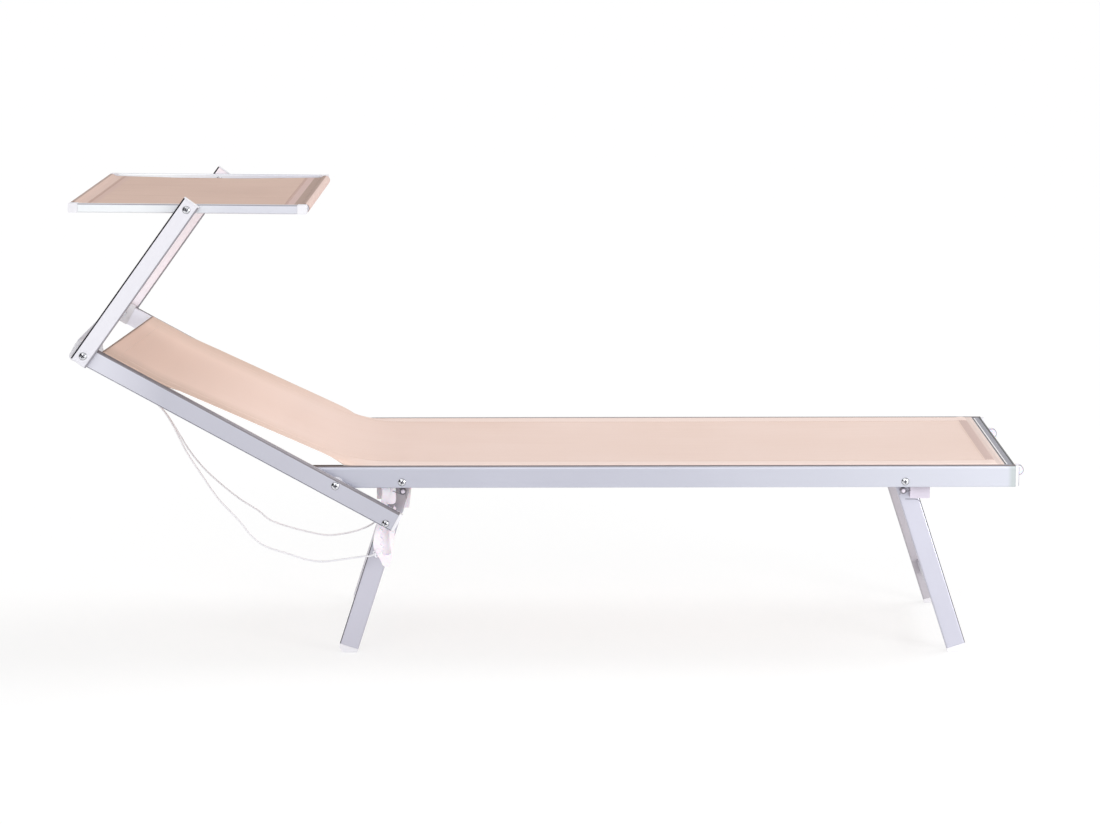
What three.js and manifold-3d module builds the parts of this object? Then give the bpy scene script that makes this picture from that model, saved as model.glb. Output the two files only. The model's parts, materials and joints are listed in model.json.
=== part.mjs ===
// Folding sun lounger with a swinging canopy: aluminium frame, fabric slings, and nylon racks that
// hold the back. Millimetres, +Z up. +X runs to the foot end, -X to the head end, and -Y is the
// right-hand side of whoever lies on it. The origin is on the ground under the middle of the lounger
// as it stands, with its back raised 29 degrees. Pieces that come in pairs are drawn on the +Y side
// and mirrored.
import * as THREE from 'three';
import { mergeVertices } from 'three/addons/utils/BufferGeometryUtils.js';
import Module from 'manifold-3d';

const wasm = await Module();
wasm.setup();

// Clearances and stock
const GAP = 0.3;
const WALL = 1.6;
const SOCKET_GAP = 0.8;
const BOLT_RADIUS = 4;
const HOLE_RADIUS = BOLT_RADIUS + GAP;
const SHEET = 1.2;
const ROUND_SIDES = 14;

// Seat frame
const SEAT_TOP = 380;
const SEAT_OUTER = 280;
const SEAT_RAIL_WIDTH = 20;
const SEAT_RAIL_HEIGHT = 41;
const SEAT_RAIL_HEAD = -460;
const SEAT_RAIL_FOOT = 894;
const SEAT_INNER = SEAT_OUTER - SEAT_RAIL_WIDTH;
const SEAT_BOTTOM = SEAT_TOP - SEAT_RAIL_HEIGHT;
const FOOT_CAP_THICKNESS = 6;
const BUMPER_REACH = 24.7;
const BUMPER_Y = 203;

// The edge groove of every rail, measured from the rail's top
const GROOVE_DEPTH = 5.2;
const GROOVE_RADIUS = 3.2;
const SLOT_WIDTH = 2.4;
const BEAD_RADIUS = 2.7;
const SEAT_GROOVE_Y = SEAT_OUTER - 14;

// Slings
const SLING_LIFT = 0.4;
const SEAT_SLING_HEAD = -399;
const SEAT_SLING_FOOT = 873.5;

// Legs, one U-frame at each end, leaning outwards
const LEG_LEAN = THREE.MathUtils.degToRad(18);
const LEG_WIDTH = 38;
const LEG_INNER = 204;
const LEG_OUTER = 223.7;
const LEG_LENGTH = 355;
const LEG_TOP = 15;
const LEG_BAR_DROP = 284;
const LEG_BAR = { width: 16, height: 30 };
const HINGE_Z = 350;
const FRONT_HINGE_X = 682;
const REAR_HINGE_X = -287;

// Leg brackets: an inner cheek, and an outer block joined to it by a web that stops the leg. Places
// along X are measured from the hinge, towards the side that the leg leans to.
const CHEEK_OUTER = LEG_INNER - 0.7;
const CHEEK_INNER = CHEEK_OUTER - 5;
const BLOCK_INNER = LEG_OUTER + 0.6;
const BLOCK_OUTER = 247.5;
const BOSS = { from: -19, to: 17, inner: 243, low: 336 };
const WEB = { to: 51, outer: 236, low: 309, top: 330 };
const BRACKET_TOP = 366;
const FRONT_BRACKET = {
  cheek: [[-14, BRACKET_TOP], [-14, 331], [0, 311], [51, 311], [51, BRACKET_TOP]],
  block: { from: 13, to: 51, low: 311, round: 1.5 },
};
const REAR_BRACKET = {
  cheek: [[-14, BRACKET_TOP], [-14, 322], [-10, 285], [8, 285], [13, 309], [51, 309], [51, BRACKET_TOP]],
  block: { from: 14, to: 38, low: 301, round: 6 },
};
const HINGE_BOLT = { headRadius: 6, headHeight: 2.3, nutRadius: 6, nutHeight: 4 };

// Backrest, drawn flat in its own frame: origin on the pivot, +X to the seat, and turned up afterwards
const BACK_PIVOT = { x: -414, z: 347 };
const BACK_ANGLE = THREE.MathUtils.degToRad(29);
const BACK_INNER = 283;
const BACK_OUTER = 301;
const BACK_TOP = 11.8;
const BACK_BOTTOM = -26.2;
const BACK_HEAD = -525;
const BACK_TAIL = 134.5;
const BACK_GROOVE_Y = BACK_INNER + 6;
const HEAD_END = -565;
const HEAD_BAR_WIDTH = 17;
const BACK_SLING_TAIL = -350;
const BACK_SLING_HEAD = { right: -513, left: -486 };
const PIVOT_BOLT = { headRadius: 7, headHeight: 3, nutRadius: 6.5, nutHeight: 4.7 };
const SPACER_RADIUS = 14.5;
const PLUG_THICKNESS = 6;

// Lock: a pin on each back rail rides in the slot of a rack that hangs from the rear bracket
const LOCK_PIN = { x: 119.3, z: -17.9, radius: 4.2 };
const ROLLER_RADIUS = 9.4;
const RACK_HINGE = { x: -318, z: 344.4 };
const RACK_INNER = 249.5;
const RACK_OUTER = 258.5;
const RACK_PER_BACK = 0.78;
const RACK_SLACK = 2;
const RACK_STUB_RADIUS = 5;
const RACK_HUB_RADIUS = 11;
const PEG = { x: -17, drop: 134, radius: 5 };

// Canopy and its arms, each drawn in its own frame with the origin on its pivot
const ARM_PIVOT = { x: -540, z: -7.2 };
const ARM_ANGLE = THREE.MathUtils.degToRad(7);
const ARM_LENGTH = 345;
const ARM_WIDTH = 34;
const ARM_INNER = 304;
const ARM_OUTER = 318;
const ARM_END = 16;
const ARM_BOLT = { headRadius: 6.5, headHeight: 3.2, nutRadius: 5.5, nutHeight: 4.7 };
const CANOPY_BOLT = { headRadius: 6.5, headHeight: 3.2, nutRadius: 5.5, nutHeight: 4 };
const CANOPY_ANGLE = THREE.MathUtils.degToRad(-35.4);
const CANOPY_INNER = 287;
const CANOPY_RAIL_HEIGHT = 17;
const CANOPY_CORNER = 19.2;
const CANOPY_HALF = 227.5;
const CANOPY_TUBE_X = 220.5;
const CANOPY_TUBE_RADIUS = 8;
const CANOPY_CLOTH_HALF = 272;
const CANOPY_CLOTH_INSET = 9;
const CANOPY_SAG = 6;

// Release cord
const CORD_RADIUS = 1.75;
const CORD_SIDES = 8;
const CORD_STEPS = 110;
const CORD_EYE = { x: -526.2, z: -57.7, bore: 5, rim: 2.6, half: 2 };
const CORD_EYE_FOOT = { low: -25, high: -12 };

const finish = (color, roughness, metalness) =>
  new THREE.MeshStandardMaterial({ color, roughness, metalness });
const aluminium = () => finish(0xd0d0dc, 0.38, 0.85);
const steel = () => finish(0xb9bbc0, 0.22, 1.0);
const whitePlastic = () => finish(0xeceaf0, 0.45, 0.0);
const nylon = () => finish(0xe9e0e2, 0.5, 0.0);
const seatFabric = () => finish(0xecd4c8, 0.9, 0.0);
const canopyFabric = () => finish(0xd4b8aa, 0.92, 0.0);
const cordFibre = () => finish(0xd9d9dc, 0.85, 0.0);

// Turns a three.js geometry into an indexed, closed mesh that holds positions only.
function closed(geometry) {
  const bare = geometry.clone();
  bare.deleteAttribute('normal');
  bare.deleteAttribute('uv');
  return mergeVertices(bare, 1e-4);
}

function solidOf(geometry) {
  const mesh = closed(geometry);
  const vertProperties = new Float32Array(mesh.attributes.position.array);
  const triVerts = new Uint32Array(mesh.index.array);
  return new wasm.Manifold(new wasm.Mesh({ numProp: 3, vertProperties, triVerts }));
}

function geometryOf(solid) {
  const mesh = solid.getMesh();
  const geometry = new THREE.BufferGeometry();
  geometry.setAttribute('position', new THREE.BufferAttribute(mesh.vertProperties, 3));
  geometry.setIndex(new THREE.BufferAttribute(mesh.triVerts, 1));
  return geometry;
}

function cut(base, ...tools) {
  let solid = solidOf(base);
  for (const tool of tools) solid = solid.subtract(solidOf(tool));
  return geometryOf(solid);
}

function join(base, ...more) {
  let solid = solidOf(base);
  for (const piece of more) solid = solid.add(solidOf(piece));
  return geometryOf(solid);
}

const common = (base, other) => geometryOf(solidOf(base).intersect(solidOf(other)));

function mirrored(geometry) {
  const copy = closed(geometry);
  copy.scale(1, -1, 1);
  const corners = copy.index.array;
  for (let i = 0; i < corners.length; i += 3) {
    const first = corners[i];
    corners[i] = corners[i + 1];
    corners[i + 1] = first;
  }
  return copy;
}

function add(group, name, geometry, material) {
  const mesh = new THREE.Mesh(geometry, material);
  mesh.name = name;
  group.add(mesh);
}

function addPair(group, name, geometry, makeMaterial) {
  add(group, `${name}_left`, geometry, makeMaterial());
  add(group, `${name}_right`, mirrored(geometry), makeMaterial());
}

// Points on an arc, both ends included, angles in degrees.
function arc(cx, cy, radius, from, to, steps) {
  const points = [];
  for (let i = 0; i <= steps; i++) {
    const turn = THREE.MathUtils.degToRad(from + ((to - from) * i) / steps);
    points.push(new THREE.Vector2(cx + radius * Math.cos(turn), cy + radius * Math.sin(turn)));
  }
  return points;
}

// A rectangle whose corners are rounded, from the lower right one anticlockwise, each by its own radius.
function roundedBox(left, bottom, right, top, radii, steps = 4) {
  const [lowRight, highRight, highLeft, lowLeft] = Array.isArray(radii) ? radii : Array(4).fill(radii);
  return [
    ...arc(right - lowRight, bottom + lowRight, lowRight, -90, 0, steps),
    ...arc(right - highRight, top - highRight, highRight, 0, 90, steps),
    ...arc(left + highLeft, top - highLeft, highLeft, 90, 180, steps),
    ...arc(left + lowLeft, bottom + lowLeft, lowLeft, 180, 270, steps),
  ];
}

const circle = (cx, cy, radius, sides = ROUND_SIDES) => arc(cx, cy, radius, 0, 360, sides).slice(0, -1);
const points = (pairs) => pairs.map(([a, b]) => new THREE.Vector2(a, b));

function shapeOf(outline, ...holes) {
  const shape = new THREE.Shape(outline);
  holes.forEach((hole) => shape.holes.push(new THREE.Path(hole)));
  return shape;
}

const AXIS_X = new THREE.Vector3(1, 0, 0);
const AXIS_Y = new THREE.Vector3(0, 1, 0);
const AXIS_Z = new THREE.Vector3(0, 0, 1);

function extrude(shape, depth, across, up, along) {
  const geometry = new THREE.ExtrudeGeometry(shape, { depth, bevelEnabled: false, curveSegments: 1 });
  return geometry.applyMatrix4(new THREE.Matrix4().makeBasis(across, up, along));
}

// A section drawn in Y and Z, run along X.
const alongX = (shape, from, to) => extrude(shape, to - from, AXIS_Y, AXIS_Z, AXIS_X).translate(from, 0, 0);
// An outline drawn in X and Z, run along Y.
const alongY = (shape, from, to) =>
  extrude(shape, to - from, AXIS_X, AXIS_Z, AXIS_Y.clone().negate()).translate(0, to, 0);
// A section drawn in X and Y, run along Z.
const alongZ = (shape, from, to) => extrude(shape, to - from, AXIS_X, AXIS_Y, AXIS_Z).translate(0, 0, from);

const block = (x0, x1, y0, y1, z0, z1) =>
  new THREE.BoxGeometry(x1 - x0, y1 - y0, z1 - z0).translate((x0 + x1) / 2, (y0 + y1) / 2, (z0 + z1) / 2);
const rod = (x, z, radius, from, to, sides = ROUND_SIDES) =>
  new THREE.CylinderGeometry(radius, radius, to - from, sides).translate(x, (from + to) / 2, z);

// A bolt across the lounger: a low domed head outside, a shaft, and a domed nut inside.
function bolt(x, z, headSeat, nutSeat, { headRadius, headHeight, nutRadius, nutHeight }) {
  const dome = (radius, seat, height) =>
    arc(0, 0, 1, 0, 90, 3).map((p) => new THREE.Vector2(radius * p.x, seat + height * p.y));
  const nut = dome(nutRadius, nutSeat, -nutHeight).reverse();
  const head = dome(headRadius, headSeat, headHeight);
  nut[0].x = 0;
  head[head.length - 1].x = 0;
  const shaft = points([
    [BOLT_RADIUS, nutSeat],
    [BOLT_RADIUS, headSeat],
  ]);
  return new THREE.LatheGeometry([...nut, ...shaft, ...head], ROUND_SIDES).translate(x, 0, z);
}

// A rail's outline with the groove for the fabric's bead in its top face. The groove lies at grooveY.
function groovedOutline(inner, outer, bottom, top, grooveY, outerRadius) {
  const half = SLOT_WIDTH / 2;
  const mouth = THREE.MathUtils.radToDeg(Math.asin(half / GROOVE_RADIUS));
  const channel = arc(grooveY, top - GROOVE_DEPTH, GROOVE_RADIUS, 90 - mouth, -270 + mouth, 12);
  return [
    ...arc(outer - 1, bottom + 1, 1, -90, 0, 2),
    ...arc(outer - outerRadius, top - outerRadius, outerRadius, 0, 90, 4),
    new THREE.Vector2(grooveY + half, top),
    ...channel,
    new THREE.Vector2(grooveY - half, top),
    ...arc(inner + 1, top - 1, 1, 90, 180, 2),
    ...arc(inner + 1, bottom + 1, 1, 180, 270, 2),
  ];
}

function groovedRail(inner, outer, bottom, top, grooveY, outerRadius, from, to, holes) {
  const underGroove = top - GROOVE_DEPTH - GROOVE_RADIUS - WALL;
  const chamber = roundedBox(inner + WALL, bottom + WALL, outer - WALL, underGroove, 0.8, 1);
  const besideGroove = grooveY + GROOVE_RADIUS + WALL;
  const corner = roundedBox(besideGroove, underGroove + WALL, outer - WALL, top - 2 * WALL, 0.8, 1);
  const outline = groovedOutline(inner, outer, bottom, top, grooveY, outerRadius);
  const rail = alongX(shapeOf(outline, chamber, corner), from, to);
  return cut(rail, ...holes.map(([x, z]) => rod(x, z, HOLE_RADIUS, inner - 1, outer + 1)));
}

// A sheet that spans from groove to groove, with a web and a bead down each side.
function slingSection(grooveY, railTop) {
  const low = railTop + SLING_LIFT;
  const high = low + SHEET;
  const half = SHEET / 2;
  const beadZ = railTop - GROOVE_DEPTH;
  const reach = THREE.MathUtils.radToDeg(Math.asin(half / BEAD_RADIUS));
  const side = [
    new THREE.Vector2(grooveY - half, low),
    ...arc(grooveY, beadZ, BEAD_RADIUS, 90 + reach, 450 - reach, 10),
    new THREE.Vector2(grooveY + half, high),
  ];
  const other = side.map((p) => new THREE.Vector2(-p.x, p.y)).reverse();
  return shapeOf([...side, ...other]);
}

function seatFrame() {
  const frame = new THREE.Group();
  const holes = [
    [BACK_PIVOT.x, BACK_PIVOT.z],
    [REAR_HINGE_X, HINGE_Z],
    [FRONT_HINGE_X, HINGE_Z],
  ];
  const rail = groovedRail(
    SEAT_INNER, SEAT_OUTER, SEAT_BOTTOM, SEAT_TOP, SEAT_GROOVE_Y, 4, SEAT_RAIL_HEAD, SEAT_RAIL_FOOT, holes,
  );
  addPair(frame, 'seat_rail', rail, aluminium);
  add(frame, 'foot_crossbar', footCrossbar(), aluminium());
  addPair(frame, 'foot_end_cap', footEndCap(), whitePlastic);
  addPair(frame, 'foot_bumper', footBumper(), whitePlastic);
  addPair(frame, 'leg_bracket_front', legBracket(FRONT_HINGE_X, 1, FRONT_BRACKET), nylon);
  addPair(frame, 'leg_bracket_rear', rearBracket(), nylon);
  addPair(frame, 'leg_hinge_bolt_front', hingeBolt(FRONT_HINGE_X), steel);
  addPair(frame, 'leg_hinge_bolt_rear', hingeBolt(REAR_HINGE_X), steel);
  const sheet = alongX(slingSection(SEAT_GROOVE_Y, SEAT_TOP), SEAT_SLING_HEAD, SEAT_SLING_FOOT);
  add(frame, 'seat_sling', closed(sheet), seatFabric());
  addPair(frame, 'pivot_spacer', pivotSpacer(), whitePlastic);
  const pivotBolt = bolt(BACK_PIVOT.x, BACK_PIVOT.z, BACK_OUTER + GAP, SEAT_INNER - GAP, PIVOT_BOLT);
  addPair(frame, 'back_pivot_bolt', pivotBolt, steel);
  return frame;
}

function footCrossbar() {
  const inner = SEAT_RAIL_FOOT - SEAT_RAIL_WIDTH;
  const reach = SEAT_INNER - GAP;
  const outline = roundedBox(inner, SEAT_BOTTOM, SEAT_RAIL_FOOT, SEAT_TOP, 1, 2);
  const chamber = roundedBox(
    inner + WALL, SEAT_BOTTOM + WALL, SEAT_RAIL_FOOT - WALL, SEAT_TOP - WALL, 0.8, 1,
  );
  return alongY(shapeOf(outline, chamber), -reach, reach);
}

function footEndCap() {
  const face = SEAT_RAIL_FOOT + GAP;
  const plate = roundedBox(SEAT_INNER, SEAT_BOTTOM, SEAT_OUTER, SEAT_TOP, 3);
  const inset = WALL + SOCKET_GAP;
  const spigotTop = SEAT_TOP - GROOVE_DEPTH - GROOVE_RADIUS - WALL - SOCKET_GAP;
  const spigot = block(
    face - 15, face + 1, SEAT_INNER + inset, SEAT_OUTER - inset, SEAT_BOTTOM + inset, spigotTop,
  );
  return join(alongX(shapeOf(plate), face, face + FOOT_CAP_THICKNESS), spigot);
}

function footBumper() {
  const face = SEAT_RAIL_FOOT + GAP;
  const outline = roundedBox(face, SEAT_TOP - 31, face + BUMPER_REACH, SEAT_TOP - 11, [3, 12, 0.5, 0.5], 5);
  return alongY(shapeOf(outline), BUMPER_Y - 7, BUMPER_Y + 7);
}

// One bracket holds one leg. side is +1 where the leg leans to the foot end, -1 where to the head end.
function legBracket(hingeX, side, { cheek, block: stop }) {
  const at = (u) => hingeX + side * u;
  const low = (from, to) => Math.min(at(from), at(to));
  const high = (from, to) => Math.max(at(from), at(to));
  const outlineOf = (corners) => shapeOf(points(corners.map(([u, z]) => [at(u), z])));
  const inner = alongY(outlineOf(cheek), CHEEK_INNER, CHEEK_OUTER);
  const radii = [stop.round, 1, 1, stop.round];
  const face = roundedBox(low(stop.from, stop.to), stop.low, high(stop.from, stop.to), BRACKET_TOP, radii);
  const outerBlock = alongY(shapeOf(face), BLOCK_INNER, BLOCK_OUTER);
  const boss = block(
    low(BOSS.from, BOSS.to), high(BOSS.from, BOSS.to), BOSS.inner, SEAT_INNER - GAP, BOSS.low, BRACKET_TOP,
  );
  // The web's face follows the leg's leaning side.
  const legFace = (z) => (HINGE_Z - z) * Math.tan(LEG_LEAN) + LEG_WIDTH / 2 / Math.cos(LEG_LEAN) + 0.5;
  const webLow = Math.max(stop.low, WEB.low);
  const webOutline = outlineOf([
    [WEB.to, webLow],
    [WEB.to, WEB.top],
    [legFace(WEB.top), WEB.top],
    [legFace(webLow), webLow],
  ]);
  const web = alongY(webOutline, CHEEK_INNER, WEB.outer);
  const hole = rod(hingeX, HINGE_Z, HOLE_RADIUS, CHEEK_INNER - 1, SEAT_INNER + 1);
  return cut(join(outerBlock, boss, inner, web), hole);
}

// The rear brackets also carry the stub that the rack hangs on.
function rearBracket() {
  const stub = rod(RACK_HINGE.x, RACK_HINGE.z, RACK_STUB_RADIUS, BLOCK_OUTER - 5, RACK_OUTER + 0.7);
  return join(legBracket(REAR_HINGE_X, -1, REAR_BRACKET), stub);
}

const hingeBolt = (x) => bolt(x, HINGE_Z, SEAT_OUTER + GAP, CHEEK_INNER - GAP, HINGE_BOLT);

function pivotSpacer() {
  const ring = shapeOf(
    circle(BACK_PIVOT.x, BACK_PIVOT.z, SPACER_RADIUS, 32), circle(BACK_PIVOT.x, BACK_PIVOT.z, HOLE_RADIUS),
  );
  return alongY(ring, SEAT_OUTER + GAP, BACK_INNER - GAP);
}

// A U-frame of two legs in its own frame: origin on the hinge, legs hanging along -Z, floorSide +1 at
// the foot end.
function legFrame(name, hingeX, floorSide) {
  const frame = new THREE.Group();
  frame.position.set(hingeX, 0, HINGE_Z);
  frame.rotation.y = -floorSide * LEG_LEAN;
  addPair(frame, `${name}_leg`, leg(), aluminium);
  add(frame, `${name}_leg_crossbar`, legCrossbar(), aluminium());
  addPair(frame, `${name}_foot`, footPlug(floorSide), whitePlastic);
  return frame;
}

function leg() {
  const half = LEG_WIDTH / 2;
  const outer = roundedBox(-half, LEG_INNER, half, LEG_OUTER, 3, 3);
  const bore = roundedBox(-half + WALL, LEG_INNER + WALL, half - WALL, LEG_OUTER - WALL, 1.6, 2);
  const tube = alongZ(shapeOf(outer, bore), -LEG_LENGTH, LEG_TOP + 1);
  const side = roundedBox(-half - 1, -LEG_LENGTH - 1, half + 1, LEG_TOP, [0.5, 16, 16, 0.5], 6);
  const trimmed = common(tube, alongY(shapeOf(side), LEG_INNER - 1, LEG_OUTER + 1));
  return cut(trimmed, rod(0, 0, HOLE_RADIUS, LEG_INNER - 1, LEG_OUTER + 1));
}

function legCrossbar() {
  const half = LEG_BAR.width / 2;
  const top = -LEG_BAR_DROP + LEG_BAR.height / 2;
  const bottom = top - LEG_BAR.height;
  const outline = roundedBox(-half, bottom, half, top, 2, 2);
  const bore = roundedBox(-half + WALL, bottom + WALL, half - WALL, top - WALL, 0.8, 1);
  return alongY(shapeOf(outline, bore), -LEG_INNER + GAP, LEG_INNER - GAP);
}

// The foot plug closes the leg's end and stands flat on the ground, whatever the leg's lean.
function footPlug(floorSide) {
  const half = LEG_WIDTH / 2;
  const face = -LEG_LENGTH - GAP;
  // Local height of the ground below the hinge, at the distance u towards the side the leg leans from.
  const ground = (u) => (-HINGE_Z + u * Math.sin(LEG_LEAN)) / Math.cos(LEG_LEAN);
  const toe = half - 0.3;
  const heel = -7;
  const outline = [
    [-half, face],
    [-half + 1.5, face - 8],
    [heel, ground(heel)],
    [toe, ground(toe)],
    [half, face],
  ];
  const side = points(outline.map(([u, z]) => [-floorSide * u, z]));
  const sole = alongY(shapeOf(side), LEG_INNER, LEG_OUTER);
  const inset = WALL + SOCKET_GAP;
  const spigot = block(
    -half + inset, half - inset, LEG_INNER + inset, LEG_OUTER - inset, face - 1, face + 25,
  );
  return join(sole, spigot);
}

function backrest() {
  const back = new THREE.Group();
  back.position.set(BACK_PIVOT.x, 0, BACK_PIVOT.z);
  back.rotation.y = BACK_ANGLE;
  const holes = [
    [0, 0],
    [LOCK_PIN.x, LOCK_PIN.z],
  ];
  const rail = groovedRail(
    BACK_INNER, BACK_OUTER, BACK_BOTTOM, BACK_TOP, BACK_GROOVE_Y, 4, BACK_HEAD, BACK_TAIL, holes,
  );
  addPair(back, 'back_rail', rail, aluminium);
  add(back, 'head_crossbar', headCrossbar(), aluminium());
  addPair(back, 'head_corner', headCorner(), whitePlastic);
  addPair(back, 'back_rail_plug', backRailPlug(), whitePlastic);
  addPair(back, 'lock_pin', lockPin(), nylon);
  add(back, 'back_sling', backSling(), seatFabric());
  add(back, 'sling_bend', slingBend(), seatFabric());
  add(back, 'cord_eye', cordEye(), whitePlastic());
  const armBolt = bolt(ARM_PIVOT.x, ARM_PIVOT.z, ARM_OUTER + GAP, BACK_INNER - GAP, ARM_BOLT);
  addPair(back, 'arm_pivot_bolt', armBolt, steel);
  return back;
}

function headCrossbar() {
  const right = HEAD_END + HEAD_BAR_WIDTH;
  const outline = roundedBox(HEAD_END, BACK_BOTTOM + 2, right, BACK_TOP, 2.5, 3);
  const bore = roundedBox(HEAD_END + WALL, BACK_BOTTOM + 2 + WALL, right - WALL, BACK_TOP - WALL, 1, 1);
  return alongY(shapeOf(outline, bore), -BACK_INNER + GAP, BACK_INNER - GAP);
}

function headCorner() {
  const face = BACK_HEAD - GAP;
  const outline = roundedBox(HEAD_END, BACK_BOTTOM - 1.2, face, BACK_TOP + 3, [1.5, 1.5, 12, 8], 6);
  const cap = join(alongY(shapeOf(outline), BACK_INNER, BACK_OUTER), railSpigot(face - 1, BACK_HEAD + 15));
  return cut(cap, rod(ARM_PIVOT.x, ARM_PIVOT.z, HOLE_RADIUS, BACK_INNER - 1, BACK_OUTER + 1));
}

// The tongue of a corner or plug that fills the back rail's lower chamber.
function railSpigot(from, to) {
  const inset = WALL + SOCKET_GAP;
  const top = BACK_TOP - GROOVE_DEPTH - GROOVE_RADIUS - WALL - SOCKET_GAP;
  return block(from, to, BACK_INNER + inset, BACK_OUTER - inset, BACK_BOTTOM + inset, top);
}

function backRailPlug() {
  const face = BACK_TAIL + GAP;
  const outline = roundedBox(BACK_INNER, BACK_BOTTOM, BACK_OUTER, BACK_TOP, 3);
  return join(alongX(shapeOf(outline), face, face + PLUG_THICKNESS), railSpigot(face - 9, face + 1));
}

// Head, shaft and roller are one turned piece; the roller is the stop under the seat rail.
function lockPin() {
  const { radius } = LOCK_PIN;
  const profile = points([
    [0, RACK_INNER - 1],
    [radius - 0.8, RACK_INNER - 1],
    [radius, RACK_INNER - 0.2],
    [radius, 262],
    [ROLLER_RADIUS, 262],
    [ROLLER_RADIUS, BACK_INNER - 0.5],
    [radius - 0.4, BACK_INNER - 0.5],
    [radius - 0.4, BACK_OUTER + GAP],
    [5, BACK_OUTER + GAP],
    [4.4, BACK_OUTER + 1.5],
    [0, BACK_OUTER + 1.9],
  ]);
  return new THREE.LatheGeometry(profile, ROUND_SIDES).translate(LOCK_PIN.x, 0, LOCK_PIN.z);
}

// The sheet's head edge runs askew, as in the photograph: further up on the right than on the left.
function backSling() {
  const section = slingSection(BACK_GROOVE_Y, BACK_TOP);
  const sheet = closed(alongX(section, BACK_SLING_HEAD.right, BACK_SLING_TAIL));
  const place = sheet.attributes.position;
  const middle = (BACK_SLING_HEAD.left + BACK_SLING_HEAD.right) / 2;
  const slant = (BACK_SLING_HEAD.left - BACK_SLING_HEAD.right) / (2 * BACK_GROOVE_Y);
  for (let i = 0; i < place.count; i++) {
    if (place.getX(i) < middle) place.setX(i, middle + slant * place.getY(i));
  }
  return sheet;
}

// The free stretch from the back to the seat narrows from the back's grooves to the seat's.
function slingBend() {
  const clear = 0.4;
  const run = new THREE.SplineCurve(points([
    [BACK_SLING_TAIL + clear, BACK_TOP + SLING_LIFT + SHEET / 2],
    [-157, 31.3],
    [-87, 36.7],
    [-34, 39.8],
    [-4.2, 37.2],
  ])).getPoints(16);
  const upper = run.map((p) => new THREE.Vector2(p.x, p.y + SHEET / 2));
  const lower = run.map((p) => new THREE.Vector2(p.x, p.y - SHEET / 2)).reverse();
  const strip = closed(alongY(shapeOf([...lower, ...upper]), -1, 1));
  const place = strip.attributes.position;
  const [start, end] = [run[0].x, run[run.length - 1].x];
  for (let i = 0; i < place.count; i++) {
    const along = (place.getX(i) - start) / (end - start);
    place.setY(i, place.getY(i) * THREE.MathUtils.lerp(BACK_GROOVE_Y, SEAT_GROOVE_Y, along));
  }
  return strip;
}

// A tongue on the head crossbar with an eye below the bar that the release cord runs through.
function cordEye() {
  const face = HEAD_END + HEAD_BAR_WIDTH + GAP;
  const { x, z, bore, rim, half } = CORD_EYE;
  const foot = points([[face, CORD_EYE_FOOT.low], [face, CORD_EYE_FOOT.high]]);
  const outline = [...foot, ...arc(x, z, bore + rim, 29, -151, 14)];
  return alongY(shapeOf(outline, circle(x, z, bore, 12)), -half, half);
}

// Where the lock pin stands in the rack at a back angle, as (towards the foot end, down) from the
// rack's hinge.
function pinInRack(backAngle) {
  const reachX = LOCK_PIN.x * Math.cos(backAngle) + LOCK_PIN.z * Math.sin(backAngle);
  const reachZ = LOCK_PIN.z * Math.cos(backAngle) - LOCK_PIN.x * Math.sin(backAngle);
  const dx = BACK_PIVOT.x + reachX - RACK_HINGE.x;
  const dz = BACK_PIVOT.z + reachZ - RACK_HINGE.z;
  const turn = RACK_PER_BACK * (backAngle - BACK_ANGLE);
  const across = dx * Math.cos(turn) - dz * Math.sin(turn);
  const drop = -(dx * Math.sin(turn) + dz * Math.cos(turn));
  return new THREE.Vector2(across, drop);
}

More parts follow.
